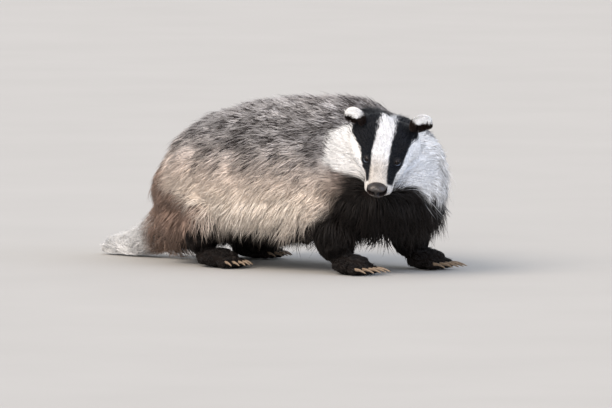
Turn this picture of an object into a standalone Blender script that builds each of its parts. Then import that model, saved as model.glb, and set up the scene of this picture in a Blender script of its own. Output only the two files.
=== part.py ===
"""European badger, life size, pausing with its head turned to its right and lowered.

Metres, +Z up. The trunk runs along X with the chest at +X, the animal's left is +Y, and its soles are on Z = 0.
The body is worked out around the middle of the trunk and then centred over the origin.
Every lock of the coat is a flat tapered solid that follows the surface it grows from.
"""

import math

import bmesh
import bpy
import numpy as np
from mathutils import Matrix, Vector
from mathutils.bvhtree import BVHTree

GAP = 0.0003
TAU = 2 * math.pi

# The outer line of trunk and neck, to the tips of the coat, from the rump to the back of the head. Each row has
# the place along the spine, the centre's x, y and z, half width, rise to the back, drop to the fringe and the
# heading.
TRUNK = np.array([
    (0.00, -0.257, 0.000, 0.103, 0.095, 0.053, 0.069, 0.0),
    (0.04, -0.225, 0.000, 0.114, 0.108, 0.076, 0.080, 0.0),
    (0.10, -0.172, 0.000, 0.130, 0.126, 0.098, 0.088, 0.0),
    (0.17, -0.109, 0.000, 0.145, 0.141, 0.111, 0.097, 0.0),
    (0.26, -0.025, 0.000, 0.153, 0.148, 0.120, 0.104, 0.0),
    (0.34, 0.055, 0.000, 0.157, 0.142, 0.124, 0.108, 0.0),
    (0.42, 0.135, 0.000, 0.160, 0.130, 0.120, 0.106, 0.0),
    (0.48, 0.192, -0.012, 0.167, 0.119, 0.108, 0.108, -14.0),
    (0.54, 0.240, -0.045, 0.178, 0.102, 0.092, 0.104, -36.0),
    (0.60, 0.272, -0.088, 0.184, 0.084, 0.074, 0.088, -52.0),
])
TRUNK_LENGTH = 0.60
RUMP_ROUND = 0.122
FRONT_ROUND = 0.040
CORE_INSET = 0.015
UPPER_FULLNESS = 0.92
LOWER_FULLNESS = 0.78
HAUNCHES = (
    ((-0.125, -0.066, 0.122), (0.098, 0.070, 0.088)),
    ((-0.150, 0.064, 0.120), (0.090, 0.068, 0.084)),
)

# The head's own frame has +X out of the nose and its origin in the middle of the nose pad.
NOSE_PLACE = (0.3075, -0.1530, 0.1430)
HEAD_YAW = -62.0
HEAD_PITCH = 38.0
HEAD_ROLL = -7.0
# Each row: x behind the nose, half width, top and bottom of the short fur.
SKULL = np.array([
    (-0.004, 0.0165, 0.0085, -0.0190),
    (-0.012, 0.0210, 0.0120, -0.0230),
    (-0.027, 0.0245, 0.0175, -0.0270),
    (-0.043, 0.0290, 0.0240, -0.0300),
    (-0.058, 0.0355, 0.0315, -0.0330),
    (-0.078, 0.0450, 0.0400, -0.0380),
    (-0.100, 0.0550, 0.0485, -0.0440),
    (-0.125, 0.0620, 0.0540, -0.0500),
    (-0.160, 0.0610, 0.0530, -0.0540),
])
MUZZLE_ROUND = 0.012
OCCIPUT_ROUND = 0.050

NOSE_CENTRE = (-0.0030, 0.0, 0.0)
NOSE_HALF = (0.0110, 0.0165, 0.0112)
NOSTRIL_PLACE = (0.0070, 0.0075, -0.0022)
NOSTRIL_HALF = (0.0060, 0.0032, 0.0024)
EYE_PLACE = (-0.0560, 0.0232, 0.0165)
EYE_RADIUS = 0.0064
EYE_FACING = (0.70, 0.60, 0.38)
LID_OPENING = (0.0056, 0.0044)
LID_THICKNESS = 0.0019
MOUTH_CORNER = -0.054
MOUTH_LEVEL = -0.0165
LIP_GROOVE = 0.0015

EAR_PLACE = (-0.117, 0.0530, 0.0450)
EAR_HALF = (0.0120, 0.0170, 0.0190)
EAR_CUP = (0.0110, 0.0138, 0.0158)
EAR_CUP_PLACE = (0.0065, 0.0, 0.0022)
EAR_OUT = 30.0
EAR_LEAN = 10.0

# Each leg has rows of x, y, z and radius from the buried top to the wrist or hock, and then its paw.
LEGS = {
    "leg_front_right": {
        "path": ((0.120, -0.060, 0.146, 0.037), (0.136, -0.074, 0.110, 0.038), (0.157, -0.083, 0.070, 0.035),
                 (0.170, -0.082, 0.036, 0.030), (0.178, -0.082, 0.022, 0.025)),
        "paw": (0.195, -0.082), "half": (0.036, 0.0290, 0.0190), "claw": 0.024, "turn": -4.0,
    },
    "leg_front_left": {
        "path": ((0.130, 0.062, 0.146, 0.037), (0.146, 0.080, 0.110, 0.038), (0.169, 0.090, 0.070, 0.035),
                 (0.184, 0.090, 0.036, 0.030), (0.192, 0.090, 0.022, 0.025)),
        "paw": (0.210, 0.090), "half": (0.036, 0.0290, 0.0190), "claw": 0.024, "turn": 2.0,
    },
    "leg_hind_right": {
        "path": ((-0.090, -0.066, 0.136, 0.040), (-0.082, -0.088, 0.105, 0.041),
                 (-0.094, -0.097, 0.068, 0.035), (-0.106, -0.098, 0.038, 0.028),
                 (-0.102, -0.098, 0.022, 0.024)),
        "paw": (-0.072, -0.099), "half": (0.046, 0.0260, 0.0175), "claw": 0.013, "turn": -5.0,
    },
    "leg_hind_left": {
        "path": ((-0.170, 0.064, 0.136, 0.040), (-0.164, 0.084, 0.105, 0.041), (-0.176, 0.093, 0.068, 0.035),
                 (-0.190, 0.094, 0.038, 0.028), (-0.186, 0.094, 0.022, 0.024)),
        "paw": (-0.156, 0.095), "half": (0.046, 0.0260, 0.0175), "claw": 0.013, "turn": 6.0,
    },
}
PAW_RISE = 0.0155
TOES = 5
TOE_HALF = (0.0120, 0.0066, 0.0080)
TOE_ARC = 9.0
CLAW_THICKNESS = 0.0030

TAIL = np.array([
    (-0.200, 0.000, 0.116, 0.024),
    (-0.233, 0.001, 0.096, 0.028),
    (-0.257, 0.002, 0.068, 0.030),
    (-0.282, 0.004, 0.041, 0.028),
    (-0.322, 0.007, 0.023, 0.023),
    (-0.362, 0.009, 0.016, 0.018),
    (-0.402, 0.009, 0.012, 0.011),
])

# The coat: locks lie in rows a step apart along the trunk, and in a row a pitch apart. Sink is how deep a root
# goes into the core. Between the ends of the belly there are none within the bare angle on either side of
# straight down.
LOCK_LENGTH = 0.108
LOCK_WIDTH = 0.055
LOCK_THICKNESS = 0.0090
LOCK_SINK = 0.0045
ROW_STEP = 0.061
ROW_PITCH = 0.060
FIRST_ROW = 0.578
LAST_ROW = 0.050
TAIL_ROW = 0.024
BARE_ANGLE = 34
BELLY_ENDS = (0.12, 0.50)
THROAT = (0.19, 0.15)
NAPE_REACH = 0.028
ROOT_CLEARANCE = 0.010
RUFF_LENGTH = 0.066
RUFF_WIDTH = 0.036
RUFF_LIFT = 0.017
RUFF_ROWS = ((-0.072, 34, -62, 4), (-0.102, 30, -66, 4))
TAIL_LOCK_LENGTH = 0.080
TAIL_LOCK_WIDTH = 0.037
TAIL_CORE = 0.62
SEED = 41
# How a lock is fitted: the lowest place of its tip, the slope under which hair leaves the skin, heights over a
# leg and shares of its length that are tried in turn, and the share before a parting plane from which it ends at
# that plane and under which it is left out.
LOWEST_TIP = 0.010
LEAVES_SKIN = -0.35
LEG_CLEARANCES = (0.005, 0.009, 0.013)
SHORTER = (1.0, 0.75, 0.55)
ENDS_AT_PLANE = 0.62
TOO_SHORT = 0.35

# A lock's places from root to tip, and there, without the tip, its share of the full width and thickness.
LOCK_STATIONS = np.array([0.0, 0.26, 0.56, 0.82, 1.0])
LOCK_FULLNESS = np.array([0.78, 1.00, 0.84, 0.48])
LOCK_DEPTH = np.array([1.00, 1.00, 0.85, 0.55])

# A parting plane is a point, its normal's heading and the normal's slope upwards.
NECK_PLANE = ((0.190, -0.010, 0.170), -12.0, 22.0)
HEAD_PLANE = ((0.240, -0.045, 0.180), -40.0, 35.0)

COLOURS = {
    "grizzled": ((0.30, 0.26, 0.22), 0.85),
    "white": ((0.80, 0.76, 0.70), 0.85),
    "black": ((0.018, 0.016, 0.017), 0.80),
    "nose": ((0.030, 0.022, 0.020), 0.30),
    "eye": ((0.010, 0.006, 0.004), 0.06),
}


def smooth(rows, at):
    """Values of the columns of rows at the places at, on a curve through every row with matching slopes."""
    places, values = rows[:, 0], rows[:, 1:]
    slopes = np.gradient(values, places, axis=0)
    at = np.clip(at, places[0], places[-1])
    i = np.clip(np.searchsorted(places, at, side="right") - 1, 0, len(places) - 2)
    span = (places[i + 1] - places[i])[..., None]
    t = (at - places[i])[..., None] / span
    return (
        (2 * t**3 - 3 * t**2 + 1) * values[i]
        + (t**3 - 2 * t**2 + t) * span * slopes[i]
        + (3 * t**2 - 2 * t**3) * values[i + 1]
        + (t**3 - t**2) * span * slopes[i + 1]
    )


def dome(share):
    """Height of a quarter circle, 0 at share 0 and 1 from share 1 on."""
    return np.sqrt(np.clip(1 - (1 - np.clip(share, 0, 1)) ** 2, 0, 1))


def bulge(angle, fullness):
    """Cosine and sine of angle, pushed out towards a box as fullness falls below 1."""
    c, s = np.cos(angle), np.sin(angle)
    return np.sign(c) * np.abs(c) ** fullness, np.sign(s) * np.abs(s) ** fullness


def trunk(along, around, inset):
    """Point of trunk and neck at a place along the spine and an angle around it, 90 degrees on the back."""
    along, around = np.broadcast_arrays(along, around)
    x, y, z, wide, rise, drop, heading = np.moveaxis(smooth(TRUNK, along), -1, 0)
    ends = dome((along - inset) / RUMP_ROUND) * dome((TRUNK_LENGTH - inset - along) / FRONT_ROUND)
    upper, lower = bulge(around, UPPER_FULLNESS), bulge(around, LOWER_FULLNESS)
    is_upper = np.sin(around) > 0
    side = (wide - inset) * ends * np.where(is_upper, upper[0], lower[0])
    up = np.where(is_upper, (rise - inset) * upper[1], (drop - inset) * lower[1]) * ends
    heading = np.radians(heading)
    return np.stack([x - np.sin(heading) * side, y + np.cos(heading) * side, z + up], -1)


def skull(behind, around, inset):
    """Point of the head in its own frame, at a negative x behind the nose and an angle around the muzzle."""
    behind, around = np.broadcast_arrays(behind, around)
    wide, top, bottom = np.moveaxis(smooth(SKULL[::-1], behind), -1, 0)
    first, last = SKULL[0, 0] - inset, SKULL[-1, 0] + inset
    ends = dome(0.2 + (first - behind) / MUZZLE_ROUND) * dome((behind - last) / OCCIPUT_ROUND)
    middle, half = (top + bottom) / 2, (top - bottom) / 2
    c, s = bulge(around, UPPER_FULLNESS)
    return np.stack([behind, (wide - inset) * ends * c, middle + (half - inset) * ends * s], -1)


def head_matrix():
    turn = Matrix.Rotation(math.radians(HEAD_YAW), 4, "Z")
    pitch = Matrix.Rotation(math.radians(HEAD_PITCH), 4, "Y")
    roll = Matrix.Rotation(math.radians(HEAD_ROLL), 4, "X")
    return Matrix.Translation(NOSE_PLACE) @ turn @ pitch @ roll


def mesh_object(name, points, faces):
    mesh = bpy.data.meshes.new(name)
    mesh.from_pydata(np.asarray(points, float).reshape(-1, 3).tolist(), [], [list(f) for f in faces])
    mesh.update()
    obj = bpy.data.objects.new(name, mesh)
    bpy.context.scene.collection.objects.link(obj)
    return obj


def tube_faces(rings, sides):
    """Quads of a tube of rings times sides points, with one face over each end."""
    faces = []
    for r in range(rings - 1):
        for s in range(sides):
            n = (s + 1) % sides
            faces.append((r * sides + s, r * sides + n, (r + 1) * sides + n, (r + 1) * sides + s))
    faces.append(tuple(range(sides - 1, -1, -1)))
    faces.append(tuple((rings - 1) * sides + s for s in range(sides)))
    return faces


def finished(obj):
    """Makes pairs of points at one place into one, turns every face outwards and splits it into triangles."""
    work = bmesh.new()
    work.from_mesh(obj.data)
    bmesh.ops.remove_doubles(work, verts=work.verts, dist=1e-6)
    bmesh.ops.recalc_face_normals(work, faces=work.faces)
    if work.calc_volume(signed=True) < 0:
        bmesh.ops.reverse_faces(work, faces=work.faces)
    bmesh.ops.triangulate(work, faces=work.faces)
    work.to_mesh(obj.data)
    work.free()
    return obj


def loft(name, surface, places, sides):
    """Closed solid of a surface function at its places, with sides points around."""
    around = np.linspace(0, TAU, sides, endpoint=False)
    points = surface(places[:, None], around[None, :])
    return finished(mesh_object(name, points, tube_faces(len(places), sides)))


def ball(name, centre, half, segments=10, rings=6, turn=None):
    """Ellipsoid with the half sizes half, turned by the matrix turn."""
    obj = mesh_object(name, [], [])
    work = bmesh.new()
    bmesh.ops.create_uvsphere(work, u_segments=segments, v_segments=rings, radius=1.0)
    place = Matrix.Translation(centre) @ (turn or Matrix.Identity(4)) @ Matrix.Diagonal((*half, 1.0))
    bmesh.ops.transform(work, matrix=place, verts=work.verts)
    work.to_mesh(obj.data)
    work.free()
    return finished(obj)


def box(name, centre, half, turn=None):
    """Block with the half sizes half, turned by the matrix turn."""
    obj = mesh_object(name, [], [])
    work = bmesh.new()
    bmesh.ops.create_cube(work, size=2.0)
    place = Matrix.Translation(centre) @ (turn or Matrix.Identity(4)) @ Matrix.Diagonal((*half, 1.0))
    bmesh.ops.transform(work, matrix=place, verts=work.verts)
    work.to_mesh(obj.data)
    work.free()
    return finished(obj)


def tube(name, rows, sides=9, rings=9, grow=0.0, blunt=(1.0, 1.0)):
    """Round tube through rows of x, y, z and radius; blunt gives the length of each round end in radii."""
    rows = np.array(rows, float)
    steps = np.concatenate([[0.0], np.cumsum(np.linalg.norm(np.diff(rows[:, :3], axis=0), axis=1))])
    places = steps[-1] * (1 - np.cos(np.linspace(0, math.pi, rings))) / 2
    values = smooth(np.column_stack([steps, rows]), places)
    centre, radius = values[:, :3], values[:, 3] + grow
    way = np.gradient(centre, places, axis=0)
    way /= np.linalg.norm(way, axis=1, keepdims=True)
    centre = centre + way * (grow * (2 * places / steps[-1] - 1))[:, None]
    across = np.cross(way, (0.0, 1.0, 0.0))
    across /= np.linalg.norm(across, axis=1, keepdims=True)
    other = np.cross(way, across)
    ends = dome(places / (blunt[0] * radius[0])) * dome((steps[-1] - places) / (blunt[1] * radius[-1]))
    size = (radius * np.maximum(ends, 0.03))[:, None, None]
    turn = np.linspace(0, TAU, sides, endpoint=False)
    ring = np.cos(turn)[None, :, None] * across[:, None, :] + np.sin(turn)[None, :, None] * other[:, None, :]
    return finished(mesh_object(name, centre[:, None, :] + size * ring, tube_faces(rings, sides)))


def boolean(obj, others, operation, solver="EXACT"):
    """Joins others to obj or cuts them from it in one applied Boolean, and removes them."""
    group = bpy.data.collections.new("pieces")
    for other in others:
        bpy.context.scene.collection.objects.unlink(other)
        group.objects.link(other)
    bpy.context.scene.collection.children.link(group)
    modifier = obj.modifiers.new("join", "BOOLEAN")
    modifier.operation = operation
    modifier.operand_type = "COLLECTION"
    modifier.collection = group
    modifier.solver = solver
    bpy.context.view_layer.update()
    graph = bpy.context.evaluated_depsgraph_get()
    made = bpy.data.meshes.new_from_object(obj.evaluated_get(graph))
    obj.modifiers.clear()
    obj.data = made
    for other in others:
        bpy.data.objects.remove(other)
    bpy.data.collections.remove(group)
    return obj


def islands_of(work):
    """The separate closed surfaces of a bmesh, each with the volume it holds, largest first."""
    seen, islands = set(), []
    for face in work.faces:
        if face in seen:
            continue
        island, stack = [], [face]
        seen.add(face)
        while stack:
            here = stack.pop()
            island.append(here)
            fresh = {f for edge in here.edges for f in edge.link_faces} - seen
            seen.update(fresh)
            stack.extend(fresh)
        held = sum(f.verts[0].co.dot(f.verts[1].co.cross(f.verts[2].co)) for f in island) / 6
        islands.append((held, island))
    return sorted(islands, key=lambda pair: -pair[0])


def keep_largest(obj):
    """Leaves the closed surface that holds the most, without loose scraps and sealed hollows."""
    work = bmesh.new()
    work.from_mesh(obj.data)
    bmesh.ops.remove_doubles(work, verts=work.verts, dist=2e-6)
    bmesh.ops.triangulate(work, faces=work.faces)
    for held, island in islands_of(work)[1:]:
        print(f"{obj.name} drops {held * 1e9:.0f} cubic millimetres")
        bmesh.ops.delete(work, geom=island, context="FACES")
    work.to_mesh(obj.data)
    work.free()
    return obj


def copy_of(obj, name):
    made = bpy.data.objects.new(name, obj.data.copy())
    bpy.context.scene.collection.objects.link(made)
    return made


def beyond(plane, side):
    """Box that fills the space in front of a parting plane (side 1) or behind it (side -1)."""
    point, heading, slope = plane
    turn = Matrix.Rotation(math.radians(heading), 4, "Z") @ Matrix.Rotation(-math.radians(slope), 4, "Y")
    reach = 0.6
    middle = Vector(point) + turn @ Vector((side * (reach - GAP / 2), 0, 0))
    return box("cutter", middle, (reach, reach, reach), turn)


def below_floor():
    return box("floor_cutter", (0, 0, -0.05), (0.8, 0.8, 0.05))


def to_head(obj):
    """Carries a piece made in the head's own frame to its place."""
    obj.data.transform(head_matrix())
    return obj


def paint(obj, colour):
    shade, rough = COLOURS[colour]
    material = bpy.data.materials.new(obj.name + "_" + colour)
    material.use_nodes = True
    principled = material.node_tree.nodes["Principled BSDF"]
    principled.inputs["Base Color"].default_value = (*shade, 1.0)
    principled.inputs["Roughness"].default_value = rough
    obj.data.materials.clear()
    obj.data.materials.append(material)


def trunk_solid(name, inset):
    """Solid of trunk and neck, pulled in from the tips of the coat by inset."""
    rump = RUMP_ROUND * (1 - np.cos(np.linspace(0.06, math.pi / 2, 6)[:-1]))
    front = FRONT_ROUND * (1 - np.cos(np.linspace(math.pi / 2, 0.1, 4)[1:]))
    middle = np.linspace(inset + RUMP_ROUND, TRUNK_LENGTH - inset - FRONT_ROUND, 12)
    places = np.concatenate([inset + rump, middle, TRUNK_LENGTH - inset - front])
    return loft(name, lambda along, around: trunk(along, around, inset), places, 22)


def skull_solid(name, inset):
    """Solid of the head without ears, nose pad and eyes."""
    front, back = SKULL[0, 0] - inset, SKULL[-1, 0] + inset
    muzzle = front - np.array([0.0, 0.0015, 0.0045, 0.009])
    middle = np.linspace(front - 0.015, back + OCCIPUT_ROUND, 12)
    nape = back + OCCIPUT_ROUND * (1 - np.cos(np.linspace(math.pi / 2, 0.12, 5)[1:]))
    places = np.concatenate([muzzle, middle, nape])
    return to_head(loft(name, lambda behind, around: skull(behind, around, inset), places, 20))


def body_solid(name, grow=0.0):
    """Trunk, neck, haunches and skull in one, grown outwards by grow."""
    pieces = [skull_solid("skull", -grow)]
    for n, (centre, half) in enumerate(HAUNCHES):
        pieces.append(ball(f"haunch_{n}", centre, [h + grow for h in half], 16, 10))
    return boolean(trunk_solid(name, CORE_INSET - grow), pieces, "UNION")


def claw(name, root, way, length):
    """Curved claw from root along way in the plan, drooping to a blunt point."""
    t = np.linspace(0, 1, 3)
    rows = np.stack([
        root[0] + way[0] * length * t,
        root[1] + way[1] * length * t,
        root[2] + (0.0060 - root[2]) * t**1.6,
        CLAW_THICKNESS * (1 - 0.72 * t),
    ], -1)
    return tube(name, rows, 4, 3, blunt=(0.5, 1.0))


def leg_solid(name, leg, grow=0.0):
    """Leg with its paw; without grow it also has toes and claws."""
    x, y = leg["paw"]
    turn = Matrix.Rotation(math.radians(leg["turn"]), 4, "Z")
    long, wide, high = leg["half"]
    limb = tube(name, leg["path"], 8, 7, grow=grow)
    pieces = [ball("paw", (x, y, PAW_RISE), (long + grow, wide + grow, high + grow), turn=turn)]
    if not grow:
        for n in range(TOES):
            share = 2 * n / (TOES - 1) - 1
            angle = math.radians(leg["turn"] - TOE_ARC * share)
            way = (math.cos(angle), math.sin(angle))
            start = turn @ Vector((long * (0.86 - 0.16 * share * share), -share * (wide - 0.0055), 0.0))
            root = Vector((x, y, 0.0085)) + start
            pieces.append(ball("toe", root, TOE_HALF, 6, 4, Matrix.Rotation(angle, 4, "Z")))
            tip = (root.x + way[0] * 0.007, root.y + way[1] * 0.007, 0.0105)
            pieces.append(claw("claw", tip, way, leg["claw"] + 0.005))
    return boolean(limb, pieces, "UNION")


def ear_solid(name, side):
    """Cupped ear, opening forwards and outwards."""
    out = Matrix.Rotation(math.radians(side * EAR_OUT), 4, "Z")
    lean = Matrix.Rotation(math.radians(-side * EAR_LEAN), 4, "X")
    place = Matrix.Translation((EAR_PLACE[0], side * EAR_PLACE[1], EAR_PLACE[2])) @ out @ lean
    shell = ball(name, (0, 0, 0), EAR_HALF, 12, 7)
    boolean(shell, [ball("cup", EAR_CUP_PLACE, EAR_CUP, 10, 6)], "DIFFERENCE")
    shell.data.transform(place)
    return to_head(shell)


def eye_frame(side):
    """Matrix that puts +X along the way the eye looks, at the eye's place in the head's frame."""
    look = Vector((EYE_FACING[0], side * EYE_FACING[1], EYE_FACING[2])).normalized()
    place = Matrix.Translation((EYE_PLACE[0], side * EYE_PLACE[1], EYE_PLACE[2]))
    return place @ look.to_track_quat("X", "Z").to_matrix().to_4x4()


def lid_ring(side):
    """Rim of skin round the eye's opening, as a ring that stands on the head's surface."""
    turns, sides = 10, 4
    a = np.linspace(0, TAU, turns, endpoint=False)
    b = np.linspace(0, TAU, sides, endpoint=False)
    rim = np.stack([0.0030 + 0 * a, LID_OPENING[0] * np.cos(a), LID_OPENING[1] * np.sin(a)], -1)
    out = np.stack([0 * a, np.cos(a), np.sin(a)], -1)
    fore = np.array([1.0, 0.0, 0.0])
    ring = out[:, None, :] * np.cos(b)[None, :, None] + fore * np.sin(b)[None, :, None]
    points = rim[:, None, :] + LID_THICKNESS * ring
    faces = []
    for i in range(turns):
        for j in range(sides):
            k, m = (i + 1) % turns, (j + 1) % sides
            faces.append((i * sides + j, k * sides + j, k * sides + m, i * sides + m))
    obj = mesh_object("lid", points, faces)
    obj.data.transform(eye_frame(side))
    return to_head(finished(obj))


def mouth_groove():
    """Thin groove round the muzzle between the lips, from one corner of the mouth to the other."""
    angle = np.linspace(-1, 1, 13) * math.pi / 2
    reach = SKULL[0, 0] - 0.004 - MOUTH_CORNER
    behind = MOUTH_CORNER + reach * np.cos(angle) ** 0.7
    wide = smooth(SKULL[::-1], behind)[:, 0]
    side = 0.93 * wide * np.sign(angle) * np.abs(np.sin(angle)) ** 0.45
    level = MOUTH_LEVEL - 0.004 * np.abs(np.sin(angle)) ** 3
    rows = np.stack([behind, side, level, np.full_like(angle, LIP_GROOVE)], -1)
    return to_head(tube("mouth", rows, 5, 18))


def lock(spine, outward, width, thickness, keel=None):
    """Flat tapered lock along the points of spine, its ridge outward and its end drawn to a point. It has three
    sides, or four with a keel that reaches in by the given depths."""
    way = np.gradient(spine, axis=0)
    way /= np.linalg.norm(way, axis=1, keepdims=True)
    across = np.cross(outward, way)
    across /= np.linalg.norm(across, axis=1, keepdims=True)
    lift = np.cross(way, across)[:-1]
    half = (width / 2 * LOCK_FULLNESS)[:, None] * across[:-1]
    deep = (thickness * LOCK_DEPTH)[:, None] * lift
    body, tip = spine[:-1], spine[-1]
    corners = [body + half - 0.25 * deep, body + 0.75 * deep, body - half - 0.25 * deep]
    if keel is not None:
        corners.append(body - 0.30 * deep - keel[:, None] * lift)
    sides = len(corners)
    points = np.concatenate([np.stack(corners, axis=1).reshape(-1, 3), tip[None, :]])
    last = sides * (len(body) - 1)
    faces = tube_faces(len(body), sides)[:-1]
    faces += [(last + side, last + (side + 1) % sides, len(points) - 1) for side in range(sides)]
    return finished(mesh_object("lock", points, faces))


def ease(share):
    share = min(max(share, 0.0), 1.0)
    return share * share * (3 - 2 * share)


def lie(place):
    """Way the coat lies at a place: back along the spine, down the sides, steeper down on rump and cheeks."""
    heading = math.radians(-62.0 * ease((place.x - 0.15) / 0.11))
    flank = ease((0.262 - place.z) / 0.10)
    rump = ease((-0.16 - place.x) / 0.12)
    cheek = ease((place.x - 0.20) / 0.05)
    down = 0.12 + 0.50 * flank + 1.1 * rump + 0.35 * cheek * flank
    return Vector((-math.cos(heading), -math.sin(heading), -down)).normalized()


def laid(ground, root, length, turn, hang):
    """Points on the ground and its normals, from root along the lie of the coat turned aside by turn, and for
    each whether it is on the core and whether it hangs free. A lock that hangs leaves the surface where that
    turns under."""
    place, normal, face, _ = ground.tree.find_nearest(root)
    rows = [(*place, *normal, face < ground.core_faces, False)]
    pieces = 3
    free = False
    for share in np.diff(LOCK_STATIONS):
        for _ in range(pieces):
            way = lie(place)
            way.rotate(Matrix.Rotation(turn, 3, normal))
            way = (way - way.dot(normal) * normal).normalized()
            ahead = place + way * (length * share / pieces)
            near, facing, face, _ = ground.tree.find_nearest(ahead)
            free = hang and facing.z < LEAVES_SKIN
            if free:
                place = ahead
            else:
                place, normal = near, facing
        rows.append((*place, *normal, face < ground.core_faces, free))
    rows = np.array(rows, float)
    return rows[:, :3], rows[:, 3:6], rows[:, 6] > 0, rows[:, 7] > 0


def fitted_lock(ground, root, length, width, lift, turn, hang):
    """Lock laid from root, rising from below the core to lift above it, or nothing where that fails. It stays
    above the floor and passes over a leg or the tail. Where it crosses a parting plane it ends there, or has a
    keel down to the core that holds what lies past the plane."""
    points, normals, on_core, free = laid(ground, root, length, turn, hang)
    if points[-1][2] < LOWEST_TIP:
        length *= (points[0][2] - LOWEST_TIP) / (points[0][2] - points[-1][2])
        points, normals, on_core, free = laid(ground, root, length, turn, hang)
    keeled = False
    for plane in (NECK_PLANE, HEAD_PLANE):
        start, end = in_front(plane, Vector(points[0])), in_front(plane, Vector(points[-1]))
        if start * end < 0:
            inside = start / (start - end)
            keeled = inside < ENDS_AT_PLANE and not free.any()
            if inside < TOO_SHORT and not keeled:
                return None
            if not keeled:
                points, normals, on_core, free = laid(ground, root, length * (inside - 0.01), turn, hang)
    height = -LOCK_SINK + (lift + LOCK_SINK) * LOCK_STATIONS**0.8
    keel = np.maximum(height[:-1], 0.0) + LOCK_SINK * 0.5 if keeled else None
    for clearance in LEG_CLEARANCES:
        raised = np.where(on_core, height, np.maximum(height, clearance))
        spine = points + normals * raised[:, None]
        if not ground.severed(spine):
            spine[:, 2] = np.maximum(spine[:, 2], LOWEST_TIP)
            return lock(spine, normals, width, LOCK_THICKNESS, keel)
    return None


def coat_lock(ground, root, size, lift, draw, hang=False, spread=0.16):
    """Lock of about the length and width in size, varied by the random draw, and made shorter where a long one
    doesn't fit. There is none where its root would be on a leg or the tail."""
    length = size[0] * draw.uniform(0.86, 1.14)
    width = size[1] * draw.uniform(0.88, 1.15)
    turn = draw.uniform(-spread, spread)
    place, _, face, _ = ground.tree.find_nearest(root)
    if face >= ground.core_faces or ground.others.find_nearest(place)[3] < ROOT_CLEARANCE:
        return None
    for share in SHORTER:
        made = fitted_lock(ground, root, length * share, width, lift, turn, hang)
        if made:
            return made
    return None


def in_front(plane, place):
    """How far a place is in front of a parting plane."""
    point, heading, slope = plane
    heading, slope = math.radians(heading), math.radians(slope)
    level = math.cos(slope)
    normal = Vector((level * math.cos(heading), level * math.sin(heading), math.sin(slope)))
    return normal.dot(place - Vector(point))


def trunk_locks(ground, draw):
    """Rows of locks round trunk and neck, each row set between the locks of the next, and none under the belly
    or in front of the nape. On the throat they lie close, and low on the sides they hang."""
    locks = []
    fine = np.linspace(0, TAU, 361)
    for n, along in enumerate([*np.arange(FIRST_ROW, LAST_ROW, -ROW_STEP), TAIL_ROW]):
        ring = trunk(along, fine, CORE_INSET)
        run = np.concatenate([[0.0], np.cumsum(np.linalg.norm(np.diff(ring, axis=0), axis=1))])
        count = max(6, round(run[-1] / ROW_PITCH))
        for k in range(count):
            around = np.interp(run[-1] * ((k + 0.5 * (n % 2)) / count % 1.0), run, fine)
            root = Vector(trunk(along, around, CORE_INSET))
            bare = abs(math.degrees(around) - 270) < BARE_ANGLE and BELLY_ENDS[0] < along < BELLY_ENDS[1]
            if bare or in_front(HEAD_PLANE, root) > NAPE_REACH:
                continue
            throat = root.x > THROAT[0] and root.z < THROAT[1]
            hang = (math.sin(around) < -0.2 or root.x < -0.20) and not throat
            locks.append(coat_lock(ground, root, (LOCK_LENGTH, LOCK_WIDTH), CORE_INSET, draw, hang))
    return [made for made in locks if made]


def ruff_locks(ground, draw):
    """Locks of the ruff, from the cheeks round under the jaw on either side."""
    locks = []
    for behind, upper, lower, count in RUFF_ROWS:
        for side in (1, -1):
            for k in range(count):
                around = math.radians(upper + (lower - upper) * (k + 0.5) / count)
                place = skull(behind, around if side > 0 else math.pi - around, 0.0)
                root = head_matrix() @ Vector(place)
                locks.append(coat_lock(ground, root, (RUFF_LENGTH, RUFF_WIDTH), RUFF_LIFT, draw, True))
    return [made for made in locks if made]


def tail_solid(name):
    """Tail with a thin core and locks that lie along it out to its bushy outline."""
    core = tube(name, TAIL * (1, 1, 1, TAIL_CORE), 8, 9, blunt=(1.0, 2.5))
    draw = np.random.default_rng(SEED + 1)
    steps = np.concatenate([[0.0], np.cumsum(np.linalg.norm(np.diff(TAIL[:, :3], axis=0), axis=1))])
    table = np.column_stack([steps, TAIL])
    locks = []
    for n, share in enumerate((0.42, 0.66)):
        count = 4
        for k in range(count):
            turn = TAU * (k + 0.5 * (n % 2)) / count
            places = steps[-1] * share + TAIL_LOCK_LENGTH * draw.uniform(0.9, 1.12) * LOCK_STATIONS
            values = smooth(table, places)
            centre, radius = values[:, :3], values[:, 3:]
            way = np.gradient(smooth(table, np.linspace(places[0], places[-1], 5))[:, :3], axis=0)
            way /= np.linalg.norm(way, axis=1, keepdims=True)
            left = np.array([0.0, 1.0, 0.0])
            up = np.cross(way, left)
            out = math.cos(turn) * left + math.sin(turn) * up
            past = np.maximum(places - steps[-1], 0.0)[:, None]
            rise = (TAIL_CORE * 0.8 + (0.92 - TAIL_CORE * 0.8) * LOCK_STATIONS**0.8)[:, None]
            spine = centre + way * past + out * radius * rise
            spine[:, 2] = np.maximum(spine[:, 2], 0.004)
            locks.append(lock(spine, out, TAIL_LOCK_WIDTH * draw.uniform(0.9, 1.1), 0.007))
    return boolean(core, locks, "UNION", "MANIFOLD")


def clear_scene():
    for obj in list(bpy.data.objects):
        bpy.data.objects.remove(obj)


def centre_over_origin():
    """Moves everything together so that the middle of its plan is over the origin."""
    nodes = list(bpy.context.scene.objects)
    corners = np.array([v.co[:] for obj in nodes for v in obj.data.vertices])
    low, high = corners.min(0), corners.max(0)
    shift = Matrix.Translation((-(low[0] + high[0]) / 2, -(low[1] + high[1]) / 2, 0))
    for obj in nodes:
        obj.data.transform(shift)
    print("size", np.round(high - low, 4), "moved by", np.round(shift.translation, 4))


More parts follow.
